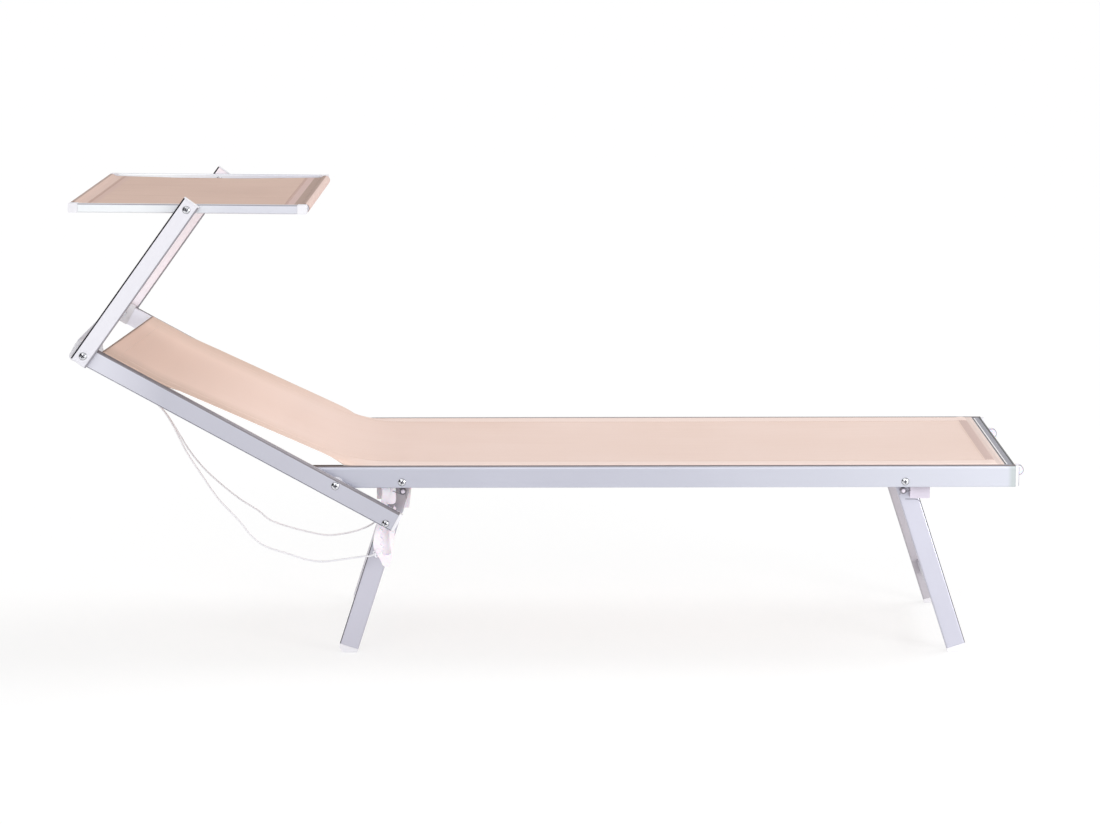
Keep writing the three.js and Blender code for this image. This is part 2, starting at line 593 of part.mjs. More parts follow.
// The rack hangs from its hinge. Its slot follows the pin's path, open at the top, with notches on
// the head side.
function lockRack() {
  const degrees = THREE.MathUtils.degToRad;
  const headSide = new THREE.SplineCurve(points([
    [-8, 20], [-12.5, 45], [-16, 62], [-19.5, 79.5], [-24.2, 99.9], [-27.2, 119], [-24, 134],
    [-18, 144.5], [-13.5, 152], [-9, 162], [-4.5, 165.6],
  ])).getPoints(24);
  const footSide = new THREE.SplineCurve(points([
    [1.5, 165], [6.3, 157.8], [9, 145], [11.2, 130], [14, 106.7], [15, 88], [15.6, 70], [18, 50],
  ])).getPoints(14);
  const neck = points([
    [12, 44], [-1, 41], [1.5, 34], [4, 26], [7, 16],
  ]);
  const hub = arc(0, 0, RACK_HUB_RADIUS, 50, -190, 14);
  const outline = [...hub, ...headSide, ...footSide, ...neck].map((p) => new THREE.Vector2(p.x, -p.y));
  const plate = alongY(shapeOf(outline), RACK_INNER, RACK_OUTER);
  const slotRadius = LOCK_PIN.radius + 1.4;
  const angles = [-2, 3, 8, 13, 18, 23, 29, 35, 41, 47, 53, 59, 65, 70].map(degrees);
  const path = angles.map(pinInRack);
  const end = path[path.length - 1];
  const halfSlack = RACK_SLACK / 2;
  const floor = arc(0, 0, 1, 180, 0, 8).map(
    (p) => new THREE.Vector2(end.x + halfSlack + (slotRadius + halfSlack) * p.x, end.y + slotRadius * p.y),
  );
  const left = path.map((p) => new THREE.Vector2(p.x - slotRadius, p.y));
  const right = path.map((p) => new THREE.Vector2(p.x + slotRadius + RACK_SLACK, p.y)).reverse();
  const slot = [...left, ...floor, ...right].map((p) => new THREE.Vector2(p.x, -p.y));
  const tools = [alongY(shapeOf(slot), RACK_INNER - 1, RACK_OUTER + 1)];
  for (const angle of [20, 29, 39, 49, 59, 70].map(degrees)) {
    const seat = pinInRack(angle);
    tools.push(rod(seat.x - 4.5, -seat.y, slotRadius + 0.6, RACK_INNER - 1, RACK_OUTER + 1));
  }
  tools.push(rod(0, 0, RACK_STUB_RADIUS + GAP, RACK_INNER - 1, RACK_OUTER + 1));
  const peg = rod(PEG.x, -PEG.drop, PEG.radius, RACK_INNER, RACK_OUTER + 3, 16);
  return join(cut(plate, ...tools), peg).translate(RACK_HINGE.x, 0, RACK_HINGE.z);
}

function canopyArms() {
  const arms = new THREE.Group();
  arms.position.set(ARM_PIVOT.x, 0, ARM_PIVOT.z);
  arms.rotation.y = ARM_ANGLE;
  const half = ARM_WIDTH / 2;
  const outer = roundedBox(-half, ARM_INNER, half, ARM_OUTER, 3, 3);
  const bore = roundedBox(-half + WALL, ARM_INNER + WALL, half - WALL, ARM_OUTER - WALL, 1.5, 2);
  const tube = alongZ(shapeOf(outer, bore), -ARM_END, ARM_LENGTH + ARM_END);
  const holes = [0, ARM_LENGTH].map((z) => rod(0, z, HOLE_RADIUS, ARM_INNER - 1, ARM_OUTER + 1));
  addPair(arms, 'canopy_arm', cut(tube, ...holes), aluminium);
  const canopyBolt = bolt(0, ARM_LENGTH, ARM_OUTER + GAP, CANOPY_INNER - GAP, CANOPY_BOLT);
  addPair(arms, 'canopy_pivot_bolt', canopyBolt, steel);
  return arms;
}

function canopy() {
  const roof = new THREE.Group();
  roof.position.set(0, 0, ARM_LENGTH);
  roof.rotation.y = CANOPY_ANGLE;
  addPair(roof, 'canopy_rail', canopyRail(), aluminium);
  const ends = [
    ['head', -1],
    ['foot', 1],
  ];
  for (const [name, side] of ends) {
    add(roof, `canopy_tube_${name}`, canopyTube(side), aluminium());
    addPair(roof, `canopy_corner_${name}`, canopyCorner(side), whitePlastic);
  }
  add(roof, 'canopy_sling', canopySling(), canopyFabric());
  return roof;
}

function canopyRail() {
  const half = CANOPY_RAIL_HEIGHT / 2;
  const reach = CANOPY_HALF - CANOPY_CORNER - GAP;
  const outer = roundedBox(CANOPY_INNER, -half, BACK_OUTER, half, 2, 2);
  const bore = roundedBox(CANOPY_INNER + WALL, -half + WALL, BACK_OUTER - WALL, half - WALL, 1, 1);
  const rail = alongX(shapeOf(outer, bore), -reach, reach);
  return cut(rail, rod(0, 0, HOLE_RADIUS, CANOPY_INNER - 1, BACK_OUTER + 1));
}

function canopyTube(side) {
  const x = side * CANOPY_TUBE_X;
  const ring = shapeOf(
    circle(x, 0, CANOPY_TUBE_RADIUS, 24), circle(x, 0, CANOPY_TUBE_RADIUS - WALL, 24),
  );
  return alongY(ring, -BACK_INNER + GAP, BACK_INNER - GAP);
}

function canopyCorner(side) {
  const half = CANOPY_RAIL_HEIGHT / 2 + 0.5;
  const near = CANOPY_HALF - CANOPY_CORNER;
  const far = CANOPY_HALF - 1;
  const radii = side > 0 ? [2.5, 2.5, 1, 1] : [1, 1, 2.5, 2.5];
  const [from, to] = side > 0 ? [near, far] : [-far, -near];
  return alongY(shapeOf(roundedBox(from, -half, to, half, radii)), BACK_INNER, BACK_OUTER);
}

// The cloth wraps each tube in a sleeve, sags between them and draws in along its free edges.
function canopySling() {
  const outer = CANOPY_TUBE_RADIUS + GAP + SHEET;
  const inner = CANOPY_TUBE_RADIUS + GAP;
  const reach = CANOPY_CLOTH_HALF;
  const sag = (x) => CANOPY_SAG * (1 - (x / CANOPY_TUBE_X) ** 2);
  const steps = 18;
  const upper = [];
  for (let i = 0; i <= steps; i++) {
    const x = CANOPY_TUBE_X * ((2 * i) / steps - 1);
    upper.push(new THREE.Vector2(x, outer - sag(x)));
  }
  const lower = upper.map((p) => new THREE.Vector2(p.x, p.y - SHEET)).reverse();
  const sheet = alongY(shapeOf([...upper, ...lower]), -reach, reach);
  const sleeves = [-1, 1].map((side) => {
    const x = side * CANOPY_TUBE_X;
    return alongY(shapeOf(circle(x, 0, outer, 24), circle(x, 0, inner, 24)), -reach, reach);
  });
  const hollows = [-1, 1].map((side) => rod(side * CANOPY_TUBE_X, 0, inner, -reach - 1, reach + 1, 24));
  const cloth = cut(join(sheet, ...sleeves), ...hollows);
  const place = cloth.attributes.position;
  for (let i = 0; i < place.count; i++) {
    const drawn = CANOPY_CLOTH_INSET * Math.max(0, 1 - (place.getX(i) / CANOPY_TUBE_X) ** 2);
    place.setY(i, (place.getY(i) * (reach - drawn)) / reach);
  }
  return cloth;
}

// One cord from rack to rack, through the eye on the head crossbar. Its two sides hang differently.
function releaseCord() {
  const route = [
    [-339.7, -255.5, 203.9], [-345.5, -255.5, 201.6], [-353, -252, 199], [-368, -243, 196],
    [-410, -221, 185.5], [-448, -202.5, 177.6], [-481, -187.3, 178.4], [-520, -169, 186.6],
    [-552, -153.8, 193], [-572, -144.6, 200], [-595, -134, 217], [-617, -123.4, 242],
    [-660, -103.6, 283], [-692, -88.4, 325.5], [-724, -73.3, 371], [-774.5, -49.8, 455],
    [-866, -18, 519.5], [-893, -11.5, 542.5], [-900.7, -6, 549], [-902.2, 0, 550.4],
    [-900.7, 6, 549], [-893, 11.5, 541.8], [-866, 18, 518.5], [-786, 44.3, 439.5],
    [-755, 58.8, 386], [-734.5, 68.5, 348], [-704.6, 82.6, 306], [-643.6, 111, 244],
    [-603, 130, 212], [-581.7, 140, 191.4], [-541, 159, 171.7], [-503, 177, 157.6],
    [-468, 193.4, 147.7], [-429, 211.4, 148], [-397, 226.6, 154], [-371, 240, 166],
    [-355, 250, 187], [-346, 255.5, 201], [-339.7, 255.5, 203.9],
  ].map(([x, y, z]) => new THREE.Vector3(x, y, z));
  const section = shapeOf(circle(0, 0, CORD_RADIUS, CORD_SIDES));
  const extrudePath = new THREE.CatmullRomCurve3(route, false, 'centripetal');
  return closed(new THREE.ExtrudeGeometry(section, { steps: CORD_STEPS, extrudePath, curveSegments: 1 }));
}

const lounger = new THREE.Group();
lounger.add(seatFrame());
lounger.add(legFrame('front', FRONT_HINGE_X, 1));
lounger.add(legFrame('rear', REAR_HINGE_X, -1));
addPair(lounger, 'lock_rack', lockRack(), nylon);
const back = backrest();
const arms = canopyArms();
arms.add(canopy());
back.add(arms);
lounger.add(back);
add(lounger, 'release_cord', releaseCord(), cordFibre());

export default lounger;
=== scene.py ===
import json
import math

import bmesh
import bpy
import numpy as np
from mathutils import Matrix, Vector


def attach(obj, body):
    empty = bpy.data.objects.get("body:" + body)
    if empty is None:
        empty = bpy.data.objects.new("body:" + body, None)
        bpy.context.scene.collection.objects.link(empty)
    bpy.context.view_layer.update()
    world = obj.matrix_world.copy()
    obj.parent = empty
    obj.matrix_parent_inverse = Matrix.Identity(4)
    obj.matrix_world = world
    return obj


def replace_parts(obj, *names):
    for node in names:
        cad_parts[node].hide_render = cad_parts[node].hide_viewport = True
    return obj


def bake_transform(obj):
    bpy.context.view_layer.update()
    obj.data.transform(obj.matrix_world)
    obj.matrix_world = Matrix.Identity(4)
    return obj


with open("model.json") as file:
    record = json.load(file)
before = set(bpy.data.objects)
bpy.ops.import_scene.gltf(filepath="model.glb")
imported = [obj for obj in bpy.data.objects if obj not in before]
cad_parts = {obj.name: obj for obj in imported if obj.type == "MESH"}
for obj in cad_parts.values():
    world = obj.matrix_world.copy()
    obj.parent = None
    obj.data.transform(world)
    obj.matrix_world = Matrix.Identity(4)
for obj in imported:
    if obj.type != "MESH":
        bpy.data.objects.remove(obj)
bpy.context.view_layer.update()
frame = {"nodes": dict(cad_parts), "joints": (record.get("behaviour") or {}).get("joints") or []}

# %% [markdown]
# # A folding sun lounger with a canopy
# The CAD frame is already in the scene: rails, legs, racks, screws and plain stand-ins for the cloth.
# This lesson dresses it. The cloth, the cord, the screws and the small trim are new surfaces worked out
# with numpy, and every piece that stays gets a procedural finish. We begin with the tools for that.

MM = 0.001
X, Y, Z = range(3)
SIDES = {"left": 1, "right": -1}


def paint(red, green, blue):
    """A colour as a paint chart gives it, 0 to 255, turned into the linear values that shaders expect."""
    chart = np.array([red, green, blue]) / 255
    low, high = chart / 12.92, ((chart + 0.055) / 1.055) ** 2.4
    return (*np.where(chart <= 0.04045, low, high).tolist(), 1.0)


def in_scene(name, data):
    """An object made from data and put in the scene."""
    made = bpy.data.objects.new(name, data)
    bpy.context.scene.collection.objects.link(made)
    return made


# %% [markdown]
# ## Places on the moving parts
# Each moving part of the CAD model was drawn about its own pivot and then turned. We find a place on such
# a part the same way: turn a drawn point about Y, then add the pivot, which the frame's joints give.

# %% From drawn places to places in the room
PIVOTS = {joint["name"]: joint["pos_m"] for joint in frame["joints"]}
BACK_TURN, ARM_TURN, CANOPY_TURN, LEG_LEAN = 29.0, 36.0, 0.6, 18.0


def drawn_about(pivot, degrees):
    """A function from drawn places, in millimetres, to places in the room: x and z turn together by the
    degrees about Y, and the pivot is added."""
    angle = math.radians(degrees)

    def place(x, y, z):
        x, y, z = np.broadcast_arrays(*(np.asarray(value, float) for value in (x, y, z)))
        across = x * math.cos(angle) + z * math.sin(angle)
        height = z * math.cos(angle) - x * math.sin(angle)
        return np.stack([across, y, height], -1) * MM + np.array(pivot)

    return place


in_room = drawn_about((0, 0, 0), 0.0)
on_back = drawn_about(PIVOTS["backrest_recline"], BACK_TURN)
on_arms = drawn_about(PIVOTS["canopy_arm_swing"], ARM_TURN)
on_canopy = drawn_about(PIVOTS["canopy_tilt"], CANOPY_TURN)
on_front_legs = drawn_about(PIVOTS["front_leg_fold"], -LEG_LEAN)
on_rear_legs = drawn_about(PIVOTS["rear_leg_fold"], LEG_LEAN)
print("canopy pivot", on_canopy(0, 0, 0).round(4))

# %% [markdown]
# ## The camera
# The view is a long lens at eye height, looking down about ten degrees. A Track To constraint could aim it,
# but keeps it level, and the view rolls a little. A camera looks down at first, so we roll it about its own
# line of sight, raise it to its pitch, turn it by its yaw and move it.

# %% Camera
CAMERA_PLACE = (0.03355, -6.51727, 1.54927)
CAMERA_PITCH, CAMERA_YAW, CAMERA_ROLL = 0.1687, -0.0056, -0.0027
PICTURE_WIDTH, FOCAL_LENGTH_PIXELS = 1100, 3298.4

camera_data = bpy.data.cameras.new("camera")
camera_data.sensor_fit = "HORIZONTAL"
camera_data.sensor_width = 36.0
camera_data.lens = camera_data.sensor_width * FOCAL_LENGTH_PIXELS / PICTURE_WIDTH
camera = in_scene("camera", camera_data)
turned = Matrix.Rotation(-CAMERA_YAW, 4, "Z") @ Matrix.Rotation(math.pi / 2 - CAMERA_PITCH, 4, "X")
rolled = Matrix.Rotation(CAMERA_ROLL, 4, "Z")
camera.matrix_world = Matrix.Translation(CAMERA_PLACE) @ turned @ rolled
bpy.context.scene.camera = camera
print(f"lens {camera_data.lens:.1f} mm")

# %% [markdown]
# ## Surfaces from grids and outlines
# Most new pieces are grids of points: two parameters run along the rows and columns, and numpy works out
# all the points at once. Neighbouring points are joined by four-sided faces. A bar is an outline carried
# along an axis. Where a surface closes on itself, doubled points are merged and faces are turned outwards.

# %% Grids, tubes and bars
ANY_WAY = (0.31, 0.52, 0.79)


def add_piece(mesh, finish, body=None, slot=None):
    """Puts a mesh in the scene with its finish and lets it ride on a body; slot is not used."""
    piece = in_scene(mesh.name, mesh)
    mesh.materials.append(finish)
    if body:
        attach(piece, body)
    return piece


def smoothed(mesh, welded=True, sharp=None):
    """Shades a mesh smooth, but for edges that bend by more than sharp degrees. Welding merges doubled points
    and turns all faces outwards."""
    if welded:
        work = bmesh.new()
        work.from_mesh(mesh)
        bmesh.ops.remove_doubles(work, verts=work.verts, dist=1e-6)
        bmesh.ops.recalc_face_normals(work, faces=work.faces)
        work.to_mesh(mesh)
        work.free()
    mesh.shade_smooth()
    if sharp:
        mesh.set_sharp_from_angle(angle=math.radians(sharp))
    return mesh


def grid_mesh(name, points, closed=False, cloth=None, marks=None, sharp=None):
    """Joins points[row, column] by quads, and the last column to the first where closed. cloth gives places
    on the flat cloth, and marks name other values of the points, such as their distance from an edge."""
    rows, columns = points.shape[:2]
    wide = columns if closed else columns - 1
    row, column = np.meshgrid(np.arange(rows - 1), np.arange(wide), indexing="ij")
    steps = ((0, 0), (1, 0), (1, 1), (0, 1))
    corners = [(row + i) * columns + (column + j) % columns for i, j in steps]
    mesh = bpy.data.meshes.new(name)
    mesh.from_pydata(points.reshape(-1, 3).tolist(), [], np.stack(corners, -1).reshape(-1, 4).tolist())
    if cloth is not None:
        layer = mesh.uv_layers.new(name="cloth")
        places = np.stack([cloth[row + i, column + j] for i, j in steps], 2)
        layer.data.foreach_set("uv", places.reshape(-1).astype(np.float32))
    for label, values in (marks or {}).items():
        layer = mesh.attributes.new(label, "FLOAT", "POINT")
        layer.data.foreach_set("value", values.reshape(-1).astype(np.float32))
    return smoothed(mesh, closed, sharp)


def travelled(points, axis=0, power=1):
    """How far each point is from the first along an axis of the grid, with each step raised to a power."""
    steps = np.linalg.norm(np.diff(points, axis=axis), axis=-1) ** power
    return np.cumsum(np.concatenate([0 * steps.take([0], axis), steps], axis), axis)


def tube_mesh(name, path, radius, sides=8, closed_ends=True):
    """A circle carried along path and kept square to it. Each ring starts where the last one did, less the
    part of that direction that lies along the path."""
    along = np.gradient(path, axis=0)
    along /= np.linalg.norm(along, axis=1, keepdims=True)
    side = np.cross(along[0], ANY_WAY)
    starts = []
    for direction in along:
        side = side - direction * (side @ direction)
        side = side / np.linalg.norm(side)
        starts.append(side)
    starts = np.array(starts)
    other = np.cross(along, starts)
    turn = np.linspace(0, 2 * math.pi, sides, endpoint=False)[None, :, None]
    rings = path[:, None] + radius * (np.cos(turn) * starts[:, None] + np.sin(turn) * other[:, None])
    around = np.linspace(0, 2 * math.pi, sides + 1) * radius
    cloth = np.stack(np.meshgrid(travelled(path), around, indexing="ij"), -1)
    if closed_ends:
        first, last = (np.repeat(end[None, None], sides, 1) for end in (path[0], path[-1]))
        rings = np.concatenate([first, rings, last])
        cloth = np.concatenate([cloth[:1], cloth, cloth[-1:]])
    return grid_mesh(name, rings, closed=True, cloth=cloth)


def bar_mesh(name, place, sign, outlines, axis, start, end, sharp=35):
    """Plates that run from start to end along an axis of the drawing, one for each outline, whose columns are
    the other two coordinates in order. Sign -1 mirrors them to the right side."""
    places, faces, base = [], [], 0
    for outline in outlines:
        count = len(outline)
        ring = base + np.arange(count)
        after = base + (np.arange(count) + 1) % count
        faces += np.stack([ring, after, after + count, ring + count], -1).tolist()
        faces += [ring[::-1].tolist(), (ring + count).tolist()]
        ends = [np.insert(outline, axis, at, axis=1) * [1, sign, 1] for at in (start, end)]
        places += [place(*points.T) for points in ends]
        base += 2 * count
    mesh = bpy.data.meshes.new(name)
    mesh.from_pydata(np.concatenate(places).tolist(), [], faces)
    return smoothed(mesh, sharp=sharp)


def add_pair(name, place, *shape, finish, body, slot="aluminium", sharp=60):
    """The same bar on both sides of the lounger."""
    return [add_piece(bar_mesh(f"{name}_{side}", place, sign, *shape, sharp), finish, body, slot)
            for side, sign in SIDES.items()]


def arc(start, end, count):
    """Points of the unit circle from start to end degrees."""
    turn = np.radians(np.linspace(start, end, count))
    return np.stack([np.cos(turn), np.sin(turn)], -1)


def weighed(t, low, high, one, two):
    """one at low and two at high, in proportion between and beyond them."""
    return ((high - t) * one + (t - low) * two) / (high - low)


def smooth_route(points, per_gap=14):
    """A centripetal spline: knots are spaced by the square root of each gap's length, to keep bends round."""
    ends = np.concatenate([[2 * points[0] - points[1]], points, [2 * points[-1] - points[-2]]])
    knots = travelled(ends, power=0.5)
    route = []
    for i in range(1, len(ends) - 2):
        p, k = ends[i - 1:i + 3], knots[i - 1:i + 3]
        t = np.linspace(k[1], k[2], per_gap, endpoint=i == len(ends) - 3)[:, None]
        a = [weighed(t, k[j], k[j + 1], p[j], p[j + 1]) for j in range(3)]
        b = [weighed(t, k[j], k[j + 2], a[j], a[j + 1]) for j in range(2)]
        route.append(weighed(t, k[1], k[2], *b))
    return np.concatenate(route)


# %% [markdown]
# ## Shader groups
# Four effects come back in many finishes: threads that cross, lines drawn along a metal section, a slow
# drift of tone, and a fine grain. Each is built once as a node group that puts out a value, and each finish
# sets its own scale and strength.

# %% Node groups


def new_group(name, control, kind, value, output):
    """A group with a place and one control as inputs, and one float output."""
    tree = bpy.data.node_groups.new(name, "ShaderNodeTree")
    tree.interface.new_socket("Place", in_out="INPUT", socket_type="NodeSocketVector")
    socket = tree.interface.new_socket(control, in_out="INPUT", socket_type=f"NodeSocket{kind}")
    socket.default_value = value
    tree.interface.new_socket(output, in_out="OUTPUT", socket_type="NodeSocketFloat")
    place, given = tree.nodes.new("NodeGroupInput").outputs[:2]
    return tree, place, given, tree.nodes.new("NodeGroupOutput").inputs[output]


def node(tree, kind, inputs, **settings):
    """One node: settings are its own switches, and inputs are values or the outputs of other nodes."""
    made = tree.nodes.new(f"ShaderNode{kind}")
    for key, value in settings.items():
        setattr(made, key, value)
    for key, value in inputs.items():
        if isinstance(value, bpy.types.NodeSocket):
            tree.links.new(value, made.inputs[key])
        else:
            made.inputs[key].default_value = value
    return made


def calculated(tree, operation, *values):
    """A Math node's output."""
    return node(tree, "Math", dict(enumerate(values)), operation=operation).outputs[0]


def spread(tree, value, start, end, low=0.0, high=1.0):
    """A value from start to end, spread over low to high and held there beyond."""
    return node(tree, "MapRange", {0: value, 1: start, 2: end, 3: low, 4: high}).outputs[0]


def make_weave():
    """Height is the larger of two rows of threads, sines along U and along V that take turns on top."""
    tree, place, threads, out = new_group("crossing_threads", "Threads", "Float", 1000.0, "Height")
    parts = node(tree, "SeparateXYZ", {0: place}).outputs
    waves = []
    for axis in (X, Y):
        phase = calculated(tree, "MULTIPLY", parts[axis], threads)
        waves.append(calculated(tree, "SINE", calculated(tree, "MULTIPLY", phase, math.pi)))
    warp, weft = (calculated(tree, "ABSOLUTE", wave) for wave in waves)
    checker = calculated(tree, "MULTIPLY", *waves)
    top = calculated(tree, "MAXIMUM", warp, weft)
    tree.links.new(calculated(tree, "MULTIPLY_ADD", checker, 0.35, top), out)
    return tree


def make_drawn_lines():
    """Noise squeezed hard across one direction, so that it becomes long fine lines."""
    tree, place, squeeze, out = new_group("drawn_lines", "Squeeze", "Vector", (4.0, 900.0, 900.0), "Lines")
    squeezed = node(tree, "VectorMath", {0: place, 1: squeeze}, operation="MULTIPLY").outputs[0]
    noise = node(tree, "TexNoise", {"Vector": squeezed, "Scale": 1.0, "Detail": 3.0, "Roughness": 0.6})
    tree.links.new(noise.outputs["Fac"], out)
    return tree


def make_drift():
    """Slow clouds of tone, spread to run from 0 to 1."""
    tree, place, scale, out = new_group("tone_drift", "Scale", "Float", 6.0, "Drift")
    noise = node(tree, "TexNoise", {"Vector": place, "Scale": scale, "Detail": 4.0})
    tree.links.new(spread(tree, noise.outputs["Fac"], 0.3, 0.7), out)
    return tree


def make_grain():
    """Fine moulded grain: small cells softened by noise."""
    tree, place, scale, out = new_group("moulded_grain", "Scale", "Float", 900.0, "Height")
    cells = node(tree, "TexVoronoi", {"Vector": place, "Scale": scale}).outputs["Distance"]
    noise = node(tree, "TexNoise", {"Vector": place, "Scale": scale, "Detail": 2.0})
    tree.links.new(calculated(tree, "MULTIPLY_ADD", cells, 0.5, noise.outputs["Fac"]), out)
    return tree


WEAVE, DRAWN_LINES, DRIFT, GRAIN = make_weave(), make_drawn_lines(), make_drift(), make_grain()
print("groups", [group.name for group in bpy.data.node_groups])

# %% [markdown]
# ## Finishes
# A finish is one Principled shader. Values that are the same all over sit on the shader's own sockets; only
# what changes over the surface comes from nodes. Anodised aluminium is softer than bare metal, so part of its
# tone is plain colour. Steel screws are bright. The white fittings are moulded plastic and milky nylon.

# %% Helpers for finishes
METAL_ROUGHNESS = (0.3, 0.44)


def principled(name, base, roughness, **sockets):
    """A material, its nodes and its shader; sockets are other values by their names, with _ for spaces."""
    material = bpy.data.materials.new(name)
    material.use_nodes = True
    tree = material.node_tree
    shader = tree.nodes["Principled BSDF"]
    shader.inputs["Base Color"].default_value = base
    shader.inputs["Roughness"].default_value = roughness
    for label, value in sockets.items():
        shader.inputs[label.replace("_", " ")].default_value = value
    return material, tree, shader


def place_of(tree):
    """Where a point is on the object."""
    return node(tree, "TexCoord", {}).outputs["Object"]


def marked(tree, label):
    """A value that the piece's points carry under a name."""
    return node(tree, "Attribute", {}, attribute_name=label).outputs["Fac"]


def use(tree, group, **inputs):
    """A group placed in a material, with its own values; gives its output."""
    return node(tree, "Group", inputs, node_tree=group).outputs[0]


def blend_colours(tree, mask, first, second):
    """The first colour where mask is 0 and the second where it is 1."""
    return node(tree, "Mix", {0: mask, 6: first, 7: second}, data_type="RGBA").outputs[2]


def darker(base, share):
    """A colour with its three channels reduced to a share."""
    return tuple(channel * share for channel in base[:3]) + (1.0,)


def raise_bumps(tree, shader, height, strength, distance):
    """Feeds a height to the shader's normal; distance is the bump's real depth in metres."""
    bump = node(tree, "Bump", {"Height": height, "Strength": strength, "Distance": distance})
    tree.links.new(bump.outputs[0], shader.inputs["Normal"])


def fade_along(tree, place, axis, low, high):
    """0 at low and 1 at high along an axis; along Y both sides of the lounger count alike."""
    part = node(tree, "SeparateXYZ", {0: place}).outputs[axis]
    if axis == Y:
        part = calculated(tree, "ABSOLUTE", part)
    return spread(tree, part, low, high)


def anodised(name, tone, squeeze, *fades):
    """Drawn section: lines along it vary its roughness. squeeze is large across the lines, and each fade is
    (axis, low, high, tone), a painted light or painted shade: the tone changes along the piece or from one
    face to the other."""
    base = paint(*tone)
    material, tree, shader = principled(name, base, 0.36, Metallic=0.62)
    place = place_of(tree)
    lines = use(tree, DRAWN_LINES, Place=place, Squeeze=squeeze)
    colour = blend_colours(tree, use(tree, DRIFT, Place=place, Scale=3.0), base, darker(base, 0.93))
    for axis, low, high, other in fades:
        colour = blend_colours(tree, fade_along(tree, place, axis, low, high), colour, paint(*other))
    tree.links.new(colour, shader.inputs["Base Color"])
    tree.links.new(spread(tree, lines, 0, 1, *METAL_ROUGHNESS), shader.inputs["Roughness"])
    raise_bumps(tree, shader, lines, 0.12, 0.00015)
    return material


def moulded(name, tone, roughness, grain_scale=900.0, **sockets):
    """Moulded plastic: a fine grain, and a tone that drifts by a few parts in a hundred."""
    base = paint(*tone)
    material, tree, shader = principled(name, base, roughness, **sockets)
    place = place_of(tree)
    drift = use(tree, DRIFT, Place=place, Scale=22.0)
    rough = spread(tree, drift, 0, 1, roughness - 0.05, roughness + 0.07)
    tree.links.new(blend_colours(tree, drift, base, darker(base, 0.92)), shader.inputs["Base Color"])
    tree.links.new(rough, shader.inputs["Roughness"])
    raise_bumps(tree, shader, use(tree, GRAIN, Place=place, Scale=grain_scale), 0.18, 0.0001)
    return material


# %% Aluminium, steel, plastics
ALONG_X, ALONG_Y, ALONG_Z = (4.0, 700.0, 700.0), (700.0, 4.0, 700.0), (700.0, 700.0, 4.0)
# Every fade here is painted light or shade. The seat rail is painted lighter towards the foot end, with a
# painted shade in a band just before its end; the back rail is painted lighter towards its head end and on
# its inner face; the canopy rail is painted darker towards its foot end. The front legs are painted darker
# and the rear legs lighter on their inner faces, and the rear legs are painted darker near the top, under the
# rail. The arms are painted lighter on their inner faces.
METALS = {
    "rail": ((182, 183, 195), ALONG_X, (X, 0.1, 0.85, (193, 195, 205)), (X, 0.879, 0.887, (176, 182, 184))),
    "back_rail": ((186, 186, 197), ALONG_X,
                  (X, -0.74, -0.86, (208, 208, 218)), (Y, 0.295, 0.289, (232, 231, 240))),
    "canopy_rail": ((226, 229, 232), ALONG_X, (X, -0.78, -0.60, (201, 202, 211))),
    "crossbar": ((200, 200, 210), ALONG_Y),
    "leg": ((197, 197, 210), ALONG_Z, (Y, 0.216, 0.208, (184, 180, 187))),
    "rear_leg": ((192, 191, 203), ALONG_Z,
                 (Y, 0.216, 0.208, (236, 234, 242)), (Z, 0.262, 0.300, (166, 160, 166))),
    "arm": ((222, 221, 228), ALONG_Z, (Y, 0.311, 0.306, (244, 237, 243))),
    # Painted shade: channel, back_channel and groove darken the rails' grooves and the back rails' rounded
    # top corner, and the edge tones below draw painted shade lines along rounded edges.
    "channel": ((118, 110, 112), ALONG_X), "back_channel": ((126, 122, 127), ALONG_X),
    "groove": ((100, 90, 84), ALONG_X), "edge_black": ((26, 26, 32), ALONG_X),
    "edge_dark": ((60, 59, 66), ALONG_Z), "edge_grey": ((120, 119, 128), ALONG_Z),
    "edge_light": ((154, 152, 160), ALONG_Z), "dark_edge": ((30, 29, 36), ALONG_Y),
    # Painted shade in the foot crossbar's slot and along its outer edge (dark_edge above), and a painted
    # highlight on its lip.
    "slot": ((74, 66, 66), ALONG_Y), "lip": ((250, 248, 250), ALONG_Y), "ribs": ((148, 147, 158), ALONG_Y),
}
metals = {word: anodised(f"anodised_{word}", *row) for word, row in METALS.items()}
steel = principled("bright_zinc", paint(214, 215, 219), 0.2, Metallic=1.0)[0]
spring_steel = principled("spring_wire", paint(132, 130, 136), 0.3, Metallic=1.0)[0]
white_plastic = moulded("white_plastic", (227, 226, 231), 0.38)
milky = {"Subsurface_Weight": 0.25, "Subsurface_Scale": 0.004}
nylon = moulded("milky_nylon", (239, 233, 239), 0.34, 600.0, **milky)
# The front brackets' nylon is a darker copy of milky_nylon: painted shade.
block_nylon_shaded = moulded("block_nylon_shaded", (198, 191, 204), 0.4, 600.0)
clear = {"Subsurface_Weight": 0.3, "Subsurface_Scale": 0.006}
clear_nylon = moulded("clear_nylon", (226, 223, 232), 0.3, 700.0, **clear)
grey_nylon = moulded("grey_nylon", (220, 212, 224), 0.4, 700.0)
# Grey nylon for the bumper rims: painted shade along the bumper's outline.
rim_nylon_shaded = moulded("rim_nylon_shaded", (146, 143, 152), 0.4, 700.0)
print("metals", len(metals))

# %% [markdown]
# ## Cloth and cord
# The sling is a smooth, tightly woven polyester, so only a close look shows its threads. Its pattern follows
# the flat cloth, so the material reads the cloth's own UV map, laid out in metres. A hem is doubled cloth: a
# band of another tone, where the points' distances from the cloth's ends and sides lie in a range. Bands of
# the same kind also paint light and shade onto the cloth.

# %% Cloth finish
SHARP_BAND = 0.0006


def band(tree, value, low, high, edge=SHARP_BAND):
    """1 where a value lies from low to high, with soft edges."""
    enter = spread(tree, value, low - edge, low + edge)
    leave = spread(tree, value, high - edge, high + edge, 1.0, 0.0)
    return calculated(tree, "MULTIPLY", enter, leave)


